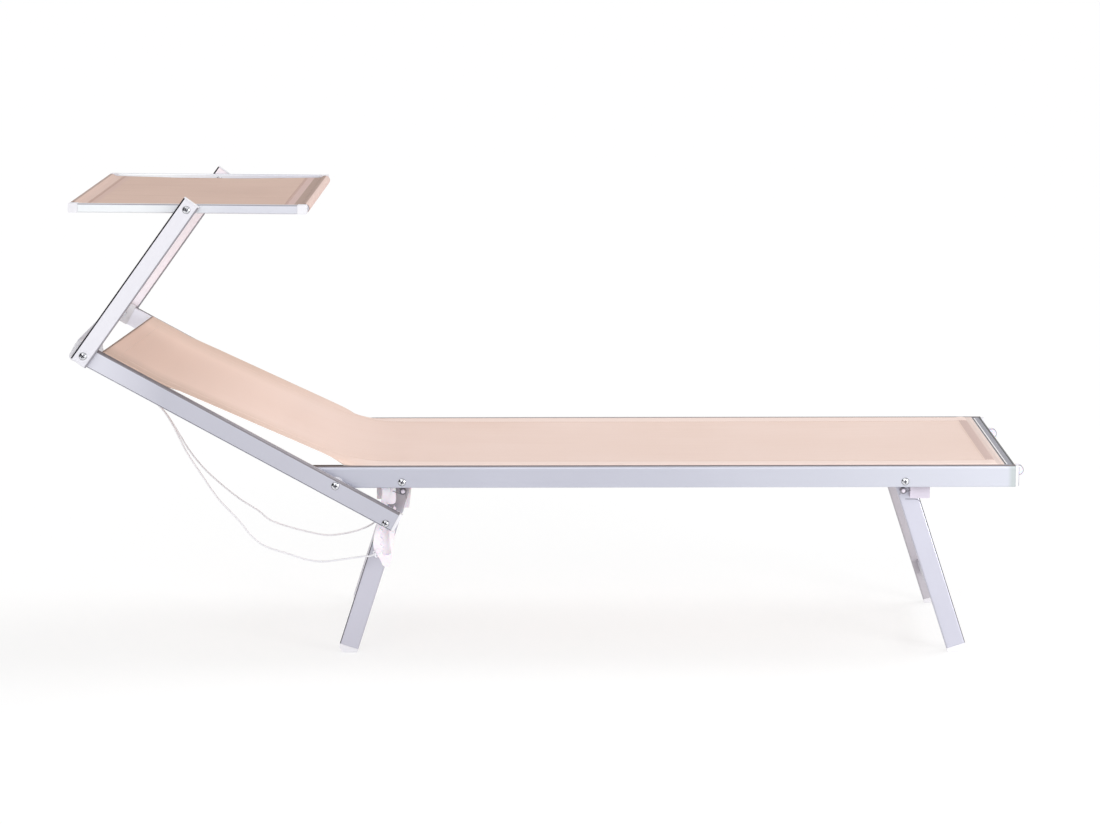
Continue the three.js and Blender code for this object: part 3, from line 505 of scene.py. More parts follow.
def woven(name, tone, shade, threads=900.0, streaks=0.5, bands=()):
    """Crossing threads, with faint streaks of yarn and a slow drift of tone. Each band is a colour and one or
    two marks, (name, low, high) or with a soft edge's width: where they are met, the cloth has the colour."""
    material, tree, shader = principled(name, paint(*tone), 0.85, Sheen_Weight=0.08, Sheen_Roughness=0.4)
    place = node(tree, "UVMap", {}, uv_map="cloth").outputs[0]
    drift = calculated(tree, "MULTIPLY", use(tree, DRIFT, Place=place, Scale=3.0), 0.5)
    yarn = use(tree, DRAWN_LINES, Place=place, Squeeze=(3.0, 260.0, 1.0))
    streaked = calculated(tree, "MULTIPLY", spread(tree, yarn, 0, 1, -0.6, 1.6), streaks)
    colour = blend_colours(tree, calculated(tree, "ADD", drift, streaked), paint(*tone), paint(*shade))
    for band_tone, *marks in bands:
        masks = [band(tree, marked(tree, label), *span) for label, *span in marks]
        mask = masks[0] if len(masks) == 1 else calculated(tree, "MULTIPLY", *masks)
        colour = blend_colours(tree, mask, colour, paint(*band_tone))
    tree.links.new(colour, shader.inputs["Base Color"])
    raise_bumps(tree, shader, use(tree, WEAVE, Place=place, Threads=threads), 0.35, 0.0003)
    return material


SIDE_HEM, SIDE_FOLD, HEAD_HEM = 0.050, 0.005, 0.030
POCKET = (0.014, 0.031)
CANOPY_HEM = {"head": 0.044, "foot": 0.055}
HEAD_HEM_END, FOOT_HEM_END = CANOPY_HEM.values()
CANOPY_EDGE, VALLEY_START, VALLEY_END = 0.010, 0.012, 0.037
ON_SEAT = ("from_foot", -0.2, 1.24, 0.03)
# Painted light and shade in the sling's bands: the first is a painted light near the head end, where the
# canopy's shadow falls, the second a painted shade along both sides near the head end, and the pocket band at
# the foot is a painted shade for doubled cloth that lets less light through.
sling_cloth = woven("sling_cloth", (234, 211, 201), (226, 199, 186), bands=[
    ((243, 215, 200), ("from_head", -0.3, 0.24, 0.14)),
    ((214, 187, 171), ("from_side", -0.3, 0.06, 0.05), ("from_head", -0.3, 0.40, 0.16)),
    ((236, 214, 205), ("from_side", -0.01, SIDE_HEM - SIDE_FOLD), ON_SEAT),
    ((213, 185, 173), ("from_side", SIDE_HEM - SIDE_FOLD, SIDE_HEM), ON_SEAT),
    ((168, 142, 128), ("from_head", -0.01, 0.003)),
    ((219, 199, 191), ("from_foot", -0.01, POCKET[0])),
    ((200, 174, 166), ("from_foot", *POCKET), ("from_side", 0.044, 1.0)),
])
# Painted light and shade in the canopy's bands: the dark band over the head tube's outer side is painted
# shade, the band in the valley beside the foot tube is painted shade, and the lighter band over the foot
# tube's roll is painted light.
canopy_cloth = woven("canopy_cloth", (213, 184, 169), (196, 165, 150), streaks=0.8, bands=[
    ((212, 184, 172), ("from_head", -0.05, HEAD_HEM_END)),
    ((172, 148, 138), ("from_head", -0.05, 0.0165)),
    ((198, 168, 157), ("from_head", HEAD_HEM_END, HEAD_HEM_END + 0.012, 0.005)),
    ((203, 174, 167), ("from_foot", -0.05, FOOT_HEM_END)),
    ((169, 143, 131), ("from_foot", VALLEY_START, VALLEY_END)),
    ((216, 190, 181), ("from_foot", -0.05, VALLEY_START)),
    ((186, 154, 142), ("from_head", HEAD_HEM_END - 0.003, HEAD_HEM_END + 0.002)),
    ((190, 158, 148), ("from_foot", FOOT_HEM_END - 0.003, FOOT_HEM_END + 0.001)),
])
thread = moulded("sewing_thread", (232, 208, 197), 0.7)
canopy_thread = moulded("canopy_thread", (196, 166, 154), 0.7)
cord_braid = woven("cord_braid", (246, 246, 250), (232, 232, 238), threads=1400.0)
print("finishes", len(bpy.data.materials))

# %% [markdown]
# ## The release cord
# One thin braided cord runs from rack to rack through an eye under the head bar. Pulling it frees the back.
# It hangs in two long loops. It is limp, so its route is a smooth curve through the points where it hangs.
# The racks swing when the back moves. The last stretch on each side is a piece of its own, and it ends in a
# knot that rides on the rack.

# %% Release cord
CORD_DIAMETER, KNOT_CORD_RADIUS, KNOT_SIZE = 3.5 * MM, 1.3 * MM, 2.3 * MM
CORD_ROUTE = np.array([
    [-339.7, -255.5, 203.9], [-345.5, -255.5, 201.6], [-353, -252, 199], [-368, -243, 196],
    [-410, -221, 185.5], [-448, -202.5, 177.6], [-481, -187.3, 178.4], [-520, -169, 186.6],
    [-552, -153.8, 193], [-572, -144.6, 200], [-595, -134, 217], [-617, -123.4, 242],
    [-660, -103.6, 283], [-692, -88.4, 325.5], [-724, -73.3, 371],
    [-774.5, -49.8, 455], [-866, -18, 519.5], [-893, -11.5, 542.5], [-900.7, -6, 549], [-902.2, 0, 550.4],
    [-900.7, 6, 549], [-893, 11.5, 541.8], [-866, 18, 518.5], [-786, 44.3, 439.5], [-755, 58.8, 386],
    [-734.5, 68.5, 348], [-704.6, 82.6, 306], [-643.6, 111, 244], [-603, 130, 212], [-581.7, 140, 191.4],
    [-541, 159, 171.7], [-503, 177, 157.6], [-468, 193.4, 147.7], [-429, 211.4, 148], [-397, 226.6, 154],
    [-371, 240, 166], [-355, 250, 187], [-346, 255.5, 201], [-339.7, 255.5, 203.9],
]) * MM
LOW_RIGHT, LOW_LEFT, CORD_STEPS = 5, 33, 14


def knot_path(centre, size, steps=120):
    """A trefoil: sin t + 2 sin 2t across, cos t - 2 cos 2t up and -sin 3t in depth, times the size."""
    t = np.linspace(0, 2 * math.pi, steps, endpoint=False)
    loops = np.stack([np.sin(t) + 2 * np.sin(2 * t), -np.sin(3 * t), np.cos(t) - 2 * np.cos(2 * t)], -1)
    path = centre + loops * [size, 0.9 * size, size]
    return np.concatenate([path, path[:1]])


for side, sign in SIDES.items():
    path = knot_path(np.array([-338.5, sign * 256.5, 205.0]) * MM, KNOT_SIZE)
    mesh = tube_mesh(f"cord_knot_{side}", path, KNOT_CORD_RADIUS, sides=10, closed_ends=False)
    add_piece(mesh, cord_braid, f"rack_{side}", "cord")

whole_route = smooth_route(CORD_ROUTE, CORD_STEPS)
right_cut, left_cut = LOW_RIGHT * CORD_STEPS, LOW_LEFT * CORD_STEPS
stretches = {
    "cord_end_right": whole_route[:right_cut + 1], "cord_loops": whole_route[right_cut:left_cut + 1],
    "cord_end_left": whole_route[left_cut:][::-1],
}
for name, path in stretches.items():
    piece = add_piece(tube_mesh(name, path, CORD_DIAMETER / 2, sides=10), cord_braid)
    if name == "cord_loops":
        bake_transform(piece)
    else:
        side = name.split("_")[-1]
        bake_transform(piece)
    length = float(travelled(path)[-1])
    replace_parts(piece, "release_cord")
    print(name, round(length, 3), "m")

# %% [markdown]
# ## Finishes for the CAD pieces
# The rails, legs, racks and fittings keep their CAD shape. Each gets the finish that runs the right way: the
# first word in the table that is part of its name decides.

# %% Finishes by node name
FINISH_BY_WORD = {
    "crossbar": metals["crossbar"], "canopy_tube": metals["crossbar"], "canopy_rail": metals["canopy_rail"],
    "seat_rail": metals["rail"], "back_rail_plug": white_plastic, "back_rail": metals["back_rail"],
    "canopy_arm": metals["arm"], "bumper": clear_nylon, "bracket_front": block_nylon_shaded, "bracket": nylon,
    "bolt": steel, "rack": nylon, "lock_pin": nylon,
    "rear_leg_left": metals["rear_leg"], "rear_leg_right": metals["rear_leg"],
    "front_leg_left": metals["leg"], "front_leg_right": metals["leg"], "": white_plastic,
}
for name, cad_node in frame["nodes"].items():
    finish = next(material for word, material in FINISH_BY_WORD.items() if word in name)
    cad_node.data.materials.clear()
    cad_node.data.materials.append(finish)
print("finished", len(frame["nodes"]), "CAD pieces")

# %% [markdown]
# ## The sling
# One cloth runs from the head to the foot. It lies on the back's rails, leaves them for a free stretch that
# narrows from the back's width to the seat's, and runs on along the seat's rails. A cloth simulation could
# settle it, but a stretched cloth barely moves, and a formula gives the same shape each time. We describe it
# by a line seen from the side and a half width at each place, and let it sag a little between the rails.

# %% Sling
BACK_EDGE, SEAT_EDGE = 289.0, 266.0
HEAD_EDGE = {"left": -486.0, "right": -513.0}
BACK_LEVEL, SEAT_LEVEL = 12.8, 381.0
BACK_SAG, SEAT_SAG = 5.0, 6.0
SEAT_START, SEAT_END = -400.0, 873.5
BEND_POINTS = np.array([[-395, 12.8], [-157, 31.3], [-87, 36.7], [-34, 39.8], [-4.2, 37.2]])
HEM_RISE, HEM_WIDTH, HEM_SLOPE = 0.35, SIDE_HEM / MM, 3
POCKET_RISE, POCKET_STARTS, POCKET_ENDS = 0.9, (14.5, 17), (29, 31.5)
EDGE_FOLD = np.array([[0.0, -4.5], [0.0, -2.2], [0.25, -1.0], [0.8, -0.3], [1.8, 0.0]])
BACK_FADE, SEAT_FADE, BACK_POWER, SEAT_POWER = 60.0, 40.0, 0.7, 0.6
CLOTH_THICKNESS = 1.0


def side_line(x):
    """Height over the flat back at x along it: level on the rails, then a curve through BEND_POINTS."""
    return np.interp(x, *smooth_route(BEND_POINTS, 12).T, left=BACK_LEVEL)


def columns_across(half, flat_columns=58):
    """Offsets across from -half to half and drops below the level: both edges turn down into a groove."""
    inset = EDGE_FOLD[-1, 0]
    flat = np.linspace(-1, 1, flat_columns)[None, 1:-1] * (half - inset)
    turned = np.broadcast_to(EDGE_FOLD[:, 0], (len(half), len(EDGE_FOLD)))
    across = np.concatenate([-half + turned, flat, (half - turned)[:, ::-1]], 1)
    drop = np.concatenate([EDGE_FOLD[:, 1], np.zeros(flat_columns - 2), EDGE_FOLD[::-1, 1]])
    return across, np.broadcast_to(drop, across.shape)


def smooth_step(value, low, high):
    """0 below low and 1 above high, with a soft S between them."""
    share = np.clip((value - low) / (high - low), 0, 1)
    return share * share * (3 - 2 * share)


def hem_rise(half, across):
    """The side hems are doubled cloth and stand a little higher, down to their inner edges."""
    return HEM_RISE * (1 - smooth_step(half - abs(across), HEM_WIDTH - HEM_SLOPE, HEM_WIDTH))


def back_points(rows):
    """The cloth from the head edge to the end of the bend. Its head edge slants, its width narrows over the
    bend, and its sag is a parabola across times a power of a sine along."""
    share = np.linspace(0, 1, rows)[:, None]
    start, end = BEND_POINTS[0, 0], BEND_POINTS[-1, 0]
    middle = (HEAD_EDGE["left"] + HEAD_EDGE["right"]) / 2 * (1 - share) + end * share
    half = BACK_EDGE + (SEAT_EDGE - BACK_EDGE) * np.clip((middle - start) / (end - start), 0, 1)
    across, drop = columns_across(half)
    x = middle + (HEAD_EDGE["left"] - HEAD_EDGE["right"]) / 2 * (across / half) * (1 - share)
    sag = BACK_SAG * (1 - (across / half) ** 2) * np.sin(math.pi * share) ** BACK_POWER
    on_rails = 1 - smooth_step(x, start, start + BACK_FADE)
    return on_back(x, across, side_line(x) - sag + hem_rise(half, across) + drop * on_rails)


def seat_points(rows):
    """The cloth from the bend to the foot edge, where a pocket rises; its sag is like the back's."""
    share = np.linspace(0, 1, rows)[1:, None]
    x = SEAT_START + share * (SEAT_END - SEAT_START)
    across, drop = columns_across(np.full((rows - 1, 1), SEAT_EDGE))
    to_foot = SEAT_END - x
    pocket = POCKET_RISE * smooth_step(to_foot, *POCKET_STARTS) * (1 - smooth_step(to_foot, *POCKET_ENDS))
    sag = SEAT_SAG * (1 - (across / SEAT_EDGE) ** 2) * np.sin(math.pi * share) ** SEAT_POWER
    settled = smooth_step(x, SEAT_START, SEAT_START + SEAT_FADE)
    return in_room(x, across, SEAT_LEVEL - sag + hem_rise(SEAT_EDGE, across) + pocket + drop * settled)


def eased(grid, fold_row, reach=13, passes=90):
    """Rounds the fold: points near it, but for the edges, move many times between their neighbours."""
    across = grid[-1, :, Y] / (SEAT_EDGE * MM)
    near = np.clip(1 - abs(np.arange(len(grid)) - fold_row) / reach, 0, 1)[:, None]
    weight = (near * (1 - across ** 8))[1:-1, :, None]
    for _ in range(passes):
        grid[1:-1] += weight * ((grid[2:] + grid[:-2]) / 2 - grid[1:-1])
    return grid


def cloth_places(points):
    """Lengths along the rows and across the columns, measured on the points themselves."""
    along, wide = travelled(points, 0).mean(1), travelled(points, 1).mean(0)
    return np.stack(np.meshgrid(along, wide, indexing="ij"), -1)


def cloth_marks(points):
    """Each point's distance along the cloth from the first row, the last row and the nearer side."""
    from_head, from_right = travelled(points, 0), travelled(points, 1)
    return {"from_head": from_head, "from_foot": from_head[-1:] - from_head,
            "from_side": np.minimum(from_right, from_right[:, -1:] - from_right)}


def area_of(points):
    """Half the cross product of each quad's diagonals, added up."""
    one, two = points[1:, 1:] - points[:-1, :-1], points[1:, :-1] - points[:-1, 1:]
    return float(np.linalg.norm(np.cross(one, two), axis=2).sum() / 2)


def add_cloth(name, points, marks, finish, body=None):
    """A cloth from its grid of points, with its thickness half to each side."""
    piece = add_piece(grid_mesh(name, points, cloth=cloth_places(points), marks=marks), finish, body)
    wall = piece.modifiers.new("thickness", "SOLIDIFY")
    wall.thickness = CLOTH_THICKNESS * MM
    wall.offset = 0.0
    print(f"{name} {area_of(points):.3f} square metres")
    return piece


def record_sheet(piece, points):
    """Prints how large the cloth is when flat."""
    length, width = cloth_places(points)[-1, -1]
    area_of(points)
    print(f"{piece.name} {width:.3f} by {length:.3f} m flat")


def follow_the_bend(piece):
    """Bakes a piece's place into its mesh; the bend's start on the back and its end on the seat are worked
    out but not used.
    """
    start = on_back(BEND_POINTS[2, 0], 0, BEND_POINTS[2, 1])
    end = in_room(SEAT_START, 0, SEAT_LEVEL)
    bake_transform(piece)


ROWS_BACK, ROWS_SEAT = 74, 190
sling_grid = eased(np.concatenate([back_points(ROWS_BACK), seat_points(ROWS_SEAT)]), ROWS_BACK)
sling_marks = cloth_marks(sling_grid)
sling = add_cloth("sling", sling_grid, sling_marks, sling_cloth)
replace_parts(sling, "seat_sling", "sling_bend", "back_sling")
follow_the_bend(sling)

# %% [markdown]
# ## Seams
# The sling's edges are turned over and sewn. A seam is a row of short raised stitches that follows the
# cloth. Bump in the cloth's finish could draw them, but they would stay flat in a close view. We pick the
# row's places on the cloth's grid, space them evenly, and build every stitch at once as a small lens of five
# sides: its rings are offset along the seam and out from the cloth.

# %% Stitches
STITCH, STITCH_GAP, THREAD_RADIUS, STITCH_LIFT = 3.2 * MM, 1.6 * MM, 0.45 * MM, 0.6 * MM
STITCH_RINGS, STITCH_SIDES, FROM_HEM = 4, 5, 0.002


def spaced(path, pitch):
    """Places every pitch along a path, with the path's direction there."""
    distance = travelled(path)
    stops = np.arange(pitch, distance[-1] - pitch / 2, pitch)
    place, front, back = (np.stack([np.interp(at, distance, path[:, i]) for i in (X, Y, Z)], -1)
                          for at in (stops, stops + pitch / 4, stops - pitch / 4))
    way = front - back
    return place, way / np.linalg.norm(way, axis=1, keepdims=True)


def stitch_mesh(name, paths):
    """Four rings along each stitch, each a circle of five points about the seam's line, raised a little."""
    found = [spaced(path, STITCH + STITCH_GAP) for path in paths]
    place, way = (np.concatenate([pair[i] for pair in found]) for i in (0, 1))
    side = np.cross(way, [0.0, 0.0, 1.0])
    side /= np.linalg.norm(side, axis=1, keepdims=True)
    out = np.cross(side, way)
    place = place + out * STITCH_LIFT
    place, way, side, out = (part[:, None, None] for part in (place, way, side, out))
    steps = np.array([-0.5, -0.3, 0.3, 0.5])[None, :, None, None] * STITCH
    swell = np.array([0.2, 1.0, 1.0, 0.2])[None, :, None, None] * THREAD_RADIUS
    turn = np.linspace(0, 2 * math.pi, STITCH_SIDES, endpoint=False)[None, None, :, None]
    rings = place + way * steps + swell * (side * np.cos(turn) + out * np.sin(turn))
    first = np.arange(len(place))[:, None, None] * STITCH_RINGS * STITCH_SIDES
    ring, spoke = np.meshgrid(np.arange(STITCH_RINGS - 1), np.arange(STITCH_SIDES), indexing="ij")
    one, two = ring * STITCH_SIDES + spoke, ring * STITCH_SIDES + (spoke + 1) % STITCH_SIDES
    quads = first[..., None] + np.stack([one, two, two + STITCH_SIDES, one + STITCH_SIDES], -1)
    start = first[:, 0] + np.arange(STITCH_SIDES)[::-1]
    end = start[:, ::-1] + (STITCH_RINGS - 1) * STITCH_SIDES
    faces = quads.reshape(-1, 4).tolist() + start.tolist() + end.tolist()
    mesh = bpy.data.meshes.new(name)
    mesh.from_pydata(rings.reshape(-1, 3).tolist(), [], faces)
    print(name, len(place), "stitches")
    return smoothed(mesh)


def line_at(grid, values, distance):
    """The line on a cloth where its values reach a distance, read from each row where it is crossed."""
    line = []
    for value, row in zip(values, grid):
        rising = np.argmax(value >= distance)
        share = (distance - value[rising - 1]) / (value[rising] - value[rising - 1])
        line.append(row[rising - 1] * (1 - share) + row[rising] * share)
    return np.array(line)


def side_seams(grid, marks, distance, skipped):
    """The lines at a distance from both sides, less the first and last skipped rows."""
    line = line_at(grid, marks["from_side"], distance)[skipped:-skipped]
    return [line, line * [1, -1, 1]]


def end_seam(grid, marks, end, distance, skipped):
    """The line at a distance from the head or foot edge, less the outermost skipped columns."""
    order, inner = (1 if end == "head" else -1), slice(skipped, -skipped)
    values = marks["from_" + end][::order, inner]
    return line_at(grid[::order, inner].swapaxes(0, 1), values.T, distance)


SLING_SEAMS = [("head", 0.005), ("head", HEAD_HEM - FROM_HEM), ("foot", POCKET[0] - FROM_HEM),
               ("foot", POCKET[1] + FROM_HEM)]
end_seams = [end_seam(sling_grid, sling_marks, end, distance, 10) for end, distance in SLING_SEAMS]
sling_lines = [*side_seams(sling_grid, sling_marks, SIDE_HEM - FROM_HEM, 2), *end_seams]
seams = add_piece(stitch_mesh("sling_seams", sling_lines), thread)
follow_the_bend(seams)
record_sheet(sling, sling_grid)

# %% [markdown]
# ## The welt in the groove
# Each long edge of the cloth is wrapped round a plastic rod that slides into the rail's groove. From outside
# we see the cloth dive into a dark slot beside two low ribs, so a ribbed strip runs along the top of each
# rail, in a dark tone that is painted shade. Its ribs are in the outline that is carried along the rail,
# because real ones catch the light all the way. The foot crossbar has lines and ribs of the same kind:
# painted shade in its slot and along its outer edge, and a painted highlight on its lip.

# %% Ribbed channel strips
RAIL_TOP, RAIL_HEAD_END, RAIL_FOOT_END, OPEN_GROOVE_END = 380.1, -459.0, 893.5, -400.5
BACK_STRIP = (-524.6, 134.2)
CORNER_RADIUS, CORNER_CENTRE = 4.15, (297.0, 7.8)


def rib_line(low, high, level, ribs, tall):
    """A row of round ribs from low to high: level + tall times the power 0.7 of a sine's size."""
    share = np.linspace(0, 1, ribs * 10 + 1)
    tops = level + tall * np.abs(np.sin(math.pi * ribs * share)) ** 0.7
    return np.stack([low + (high - low) * share, tops], -1)


def ribbed(low, high, ribs, tall=0.9):
    """A section over the rail's top: a row of ribs, closed down to just under the top at both sides."""
    line = rib_line(low, high, RAIL_TOP, ribs, tall)
    return np.concatenate([[[low, RAIL_TOP - 0.4]], line, [[high, RAIL_TOP - 0.4]]])


def back_channel():
    """Two ribs beside the cloth, then a quarter circle that covers the rail's rounded outer corner with paint
    shade.
    """
    ribs = rib_line(291.2, 297.0, 11.9, 2, 1.1)
    corner = CORNER_CENTRE + CORNER_RADIUS * arc(90, 6, 9)
    return np.concatenate([[[291.2, 11.4]], ribs[:-1], corner, [[300.4, 8.0], [297.0, 11.2]]])


# Name, where it is drawn, outline, axis, start and end along it, finish, body and sharp angle of each pair.
STRIPS = [
    ("seat_channel", in_room, ribbed(269.2, 277.6, 2, 1.2), X, RAIL_HEAD_END, RAIL_FOOT_END, "channel",
     "seat_frame", 50),
    ("open_groove", in_room, ribbed(260.8, 268.8, 1, 1.5), X, RAIL_HEAD_END, OPEN_GROOVE_END, "groove",
     "seat_frame", 50),
    ("back_channel", on_back, back_channel(), X, *BACK_STRIP, "back_channel", "backrest", 60),
]
for name, place, outline, axis, start, end, word, body, sharp in STRIPS:
    add_pair(name, place, [outline], axis, start, end, finish=metals[word], body=body, sharp=sharp)

# Name, low, high, reach to each side, ribs and finish of each strip on the foot crossbar.
# Painted shade in the slot and along the outer edge, and a painted highlight on the lip.
FOOT_STRIPS = [
    ("foot_bar_slot", 875.4, 877.8, 259.5, 1, "slot"), ("foot_bar_lip", 878.0, 880.6, 259.5, 1, "lip"),
    ("foot_bar_ribs", 880.8, 889.2, 259.5, 3, "ribs"), ("foot_bar_edge", 889.4, 893.8, 277.0, 1, "dark_edge"),
]
for name, low, high, reach, ribs, word in FOOT_STRIPS:
    strip = bar_mesh(name, in_room, 1, [ribbed(low, high, ribs)], Y, -reach, reach, 50)
    add_piece(strip, metals[word], "seat_frame", "aluminium")
print("strips", 2 * len(STRIPS) + len(FOOT_STRIPS))

# %% [markdown]
# ## Rounded edges
# The long edges of the legs, arms, rails and end caps are rolled over a small radius. There the metal turns
# away from the light and reads as a thin dark line. The CAD pieces have these roundings but one finish all
# over, and a mask for each would be long to describe. So a thin skin, a sector of a ring in section, lies
# over each rounding with its own darker tone, a painted shade line. At the top of each front leg the painted
# line bends round, as a thin wire.

# %% Edge skins
SKIN_OUT, SKIN_IN = 0.06, 0.35


def skin_outline(first, second, first_sign, second_sign, radius, sweep):
    """Part of a ring about (first, second), from radius - SKIN_IN to radius + SKIN_OUT. It starts on the
    first axis and turns by sweep degrees to the second; the signs tell in which quarter it lies."""
    centre, bend = (first, second), arc(0, sweep, 7) * [first_sign, second_sign]
    return np.concatenate([centre + (radius + SKIN_OUT) * bend, centre + (radius - SKIN_IN) * bend[::-1]])


# Name, where it is drawn, corners, radius, sweep, axis, start and end along it, finish and body. A corner is
# its centre and the signs of its quarter, on the left side.
SKINS = [
    ("arm_edge_head", on_arms, [(-14.0, 315.0, -1, 1), (-14.0, 307.0, -1, -1)], 3.0, 90, Z, -15.9, 360.9,
     "edge_dark", "canopy_arms"),
    ("arm_edge_foot", on_arms, [(14.0, 315.0, 1, 1), (14.0, 307.0, 1, -1)], 3.0, 90, Z, -15.9, 360.9,
     "edge_light", "canopy_arms"),
    ("front_leg_edge", on_front_legs, [(16.0, 220.7, 1, 1)], 3.0, 55, Z, -354.9, -1.0,
     "edge_dark", "front_legs"),
    ("rear_leg_edge", on_rear_legs, [(-16.0, 220.7, -1, 1)], 3.0, 55, Z, -354.9, -1.0,
     "edge_dark", "rear_legs"),
    ("back_rail_edge", on_back, [(299.0, -24.2, 1, -1)], 2.1, 90, X, -524.9, 134.4, "edge_black", "backrest"),
    ("canopy_rail_edge", on_canopy, [(299.0, 6.5, 1, 1)], 2.0, 90, X, -208.0, 208.0, "edge_light", "canopy"),
    ("end_cap_edge", in_room, [(899.6, 279.3, 1, 1)], 0.95, 90, Z, 341.0, 378.0, "edge_grey", "seat_frame"),
]
for name, place, corners, radius, sweep, axis, start, end, word, body in SKINS:
    outlines = [skin_outline(*corner, radius, sweep) for corner in corners]
    add_pair(name, place, outlines, axis, start, end, finish=metals[word], body=body)

LEG_TOP = np.array([[688, 304.5], [704, 304.5], [709.5, 304], [714, 302.2], [716.8, 299.5], [718.6, 296]])
LEG_OUTER_FACE = 223.6


def wire_mesh(name, outline, depth, radius):
    """A thin tube along an outline seen from the side, at a distance from the lounger's middle."""
    return tube_mesh(name, in_room(*np.insert(outline, Y, depth, axis=1).T), radius * MM)


for side, sign in SIDES.items():
    seam = wire_mesh(f"front_leg_top_{side}", smooth_route(LEG_TOP, 6), sign * LEG_OUTER_FACE, 0.6)
    add_piece(seam, metals["edge_grey"], "front_legs", "aluminium")
print("edges", 2 * len(SKINS) + 2)

# %% [markdown]
# ## The canopy's cloth
# The canopy is one cloth whose two ends are turned over the head and foot tubes and sewn into sleeves. Its
# long edges are free and draw in a little. Seen from the side its line is flat in the middle and climbs
# steeply to a round loop at each end, because the tubes stand higher than the stretched cloth. A sheet and
# two sleeves could be joined, but one line that is carried across gives them all without a break.

# %% Canopy cloth
TUBE_X, SLEEVE_RADIUS, CLOTH_REACH, CLOTH_INSET = 220.5, 8.9, 272.0, 9.0
SLEEVE_TOP = np.array([[6.6, 6.2], [9.2, 5.2], [13.5, 4.7], [24, 4.5], [36, 4.3], [60, 4.0]])
SLEEVE_UNDER = np.array([[37, 3.2], [25, 3.4], [14, 3.3], [11.6, 0.6], [9.6, -2.4]])
MIDDLE_LEVEL = 2.4
RIPPLE, RIPPLE_LENGTH, RIPPLE_SHIFT, RIPPLE_REACH = 0.35, 21.0, 2.0, 180.0


def canopy_line(steps=90, loop_steps=34):
    """(x, z) of each step: under hem, circle round the head tube, middle, and the same again at the foot. The
    middle dips by the square of the distance from it."""
    loop = SLEEVE_RADIUS * arc(330, 52, loop_steps)
    end = smooth_route(np.concatenate([SLEEVE_UNDER, loop, SLEEVE_TOP]), 3) + [-TUBE_X, 0]
    reach = TUBE_X - SLEEVE_TOP[-1, 0]
    x = np.linspace(-reach, reach, steps)[1:-1]
    level = MIDDLE_LEVEL + (SLEEVE_TOP[-1, 1] - MIDDLE_LEVEL) * (x / reach) ** 2
    return np.concatenate([end, np.stack([x, level], -1), end[::-1] * [-1, 1]])


def canopy_points(columns=60):
    """The line of the cloth carried across, its free edges drawn in most at the middle, with a ripple: a sine
    along the cloth that shifts across it and fades out towards the tubes."""
    x, level = canopy_line().T[:, :, None]
    across = np.linspace(-1, 1, columns)
    reach = CLOTH_REACH - CLOTH_INSET * np.clip(1 - (x / TUBE_X) ** 2, 0, 1)
    wave = np.sin(x / RIPPLE_LENGTH + RIPPLE_SHIFT * across)
    ripple = RIPPLE * wave * np.clip(1 - (x / RIPPLE_REACH) ** 2, 0, 1)
    return on_canopy(x, reach * across, level + ripple)


canopy_grid = canopy_points()
canopy_marks = cloth_marks(canopy_grid)
outermost = int(np.argmin(canopy_line()[:, 0]))
canopy_marks["from_head"] -= canopy_marks["from_head"][outermost]
canopy_marks["from_foot"] -= canopy_marks["from_foot"][-1 - outermost]
canopy_sheet = add_cloth("canopy_sheet", canopy_grid, canopy_marks, canopy_cloth, "canopy")
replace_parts(canopy_sheet, "canopy_sling")

# %% Canopy seams
ROW_GAP, SLEEVE_ROWS = 0.004, 150
canopy_lines = [end_seam(canopy_grid, canopy_marks, end, distance, 1)
                for end, hem in CANOPY_HEM.items() for distance in (hem - ROW_GAP, hem)]
canopy_lines += side_seams(canopy_grid, canopy_marks, CANOPY_EDGE - FROM_HEM, SLEEVE_ROWS)
seams = add_piece(stitch_mesh("canopy_seams", canopy_lines), canopy_thread, "canopy", "canopy_fabric")
record_sheet(canopy_sheet, canopy_grid)

# %% [markdown]
# ## Screws
# Every joint turns on a screw with a cross recess and a six-sided nut. One closed surface makes both: the
# radius and the height are worked out row by row from the middle of the head, over its rim, down the shank
# and out over the nut. A Boolean could cut the cross, but a dip in the same grid keeps the faces even: it
# lies where a point is close to one of two lines through the middle. The lock pins' screws have no nut.

# %% Screws
RECESS_DEPTH, SPOKES, WASHER_SHADE, WASHER_WIDTH, RIM_SHARE = 1.6, 48, 0.7, 1.1, 0.25
RECESS_BAR = (0.13, 0.56, 0.11)
LEG_HINGES = {"front": 682.0, "rear": -287.0}
LEG_HINGE_LEVEL = 350.0


def dip(across, along, width, length, soft):
    """1 inside a bar that is width by length each way from the middle, falling to 0 over its soft edge."""
    beside, before = (width - abs(across)) / soft, (length - abs(along)) / soft
    return np.clip(beside + 0.5, 0, 1) * np.clip(before + 0.5, 0, 1)


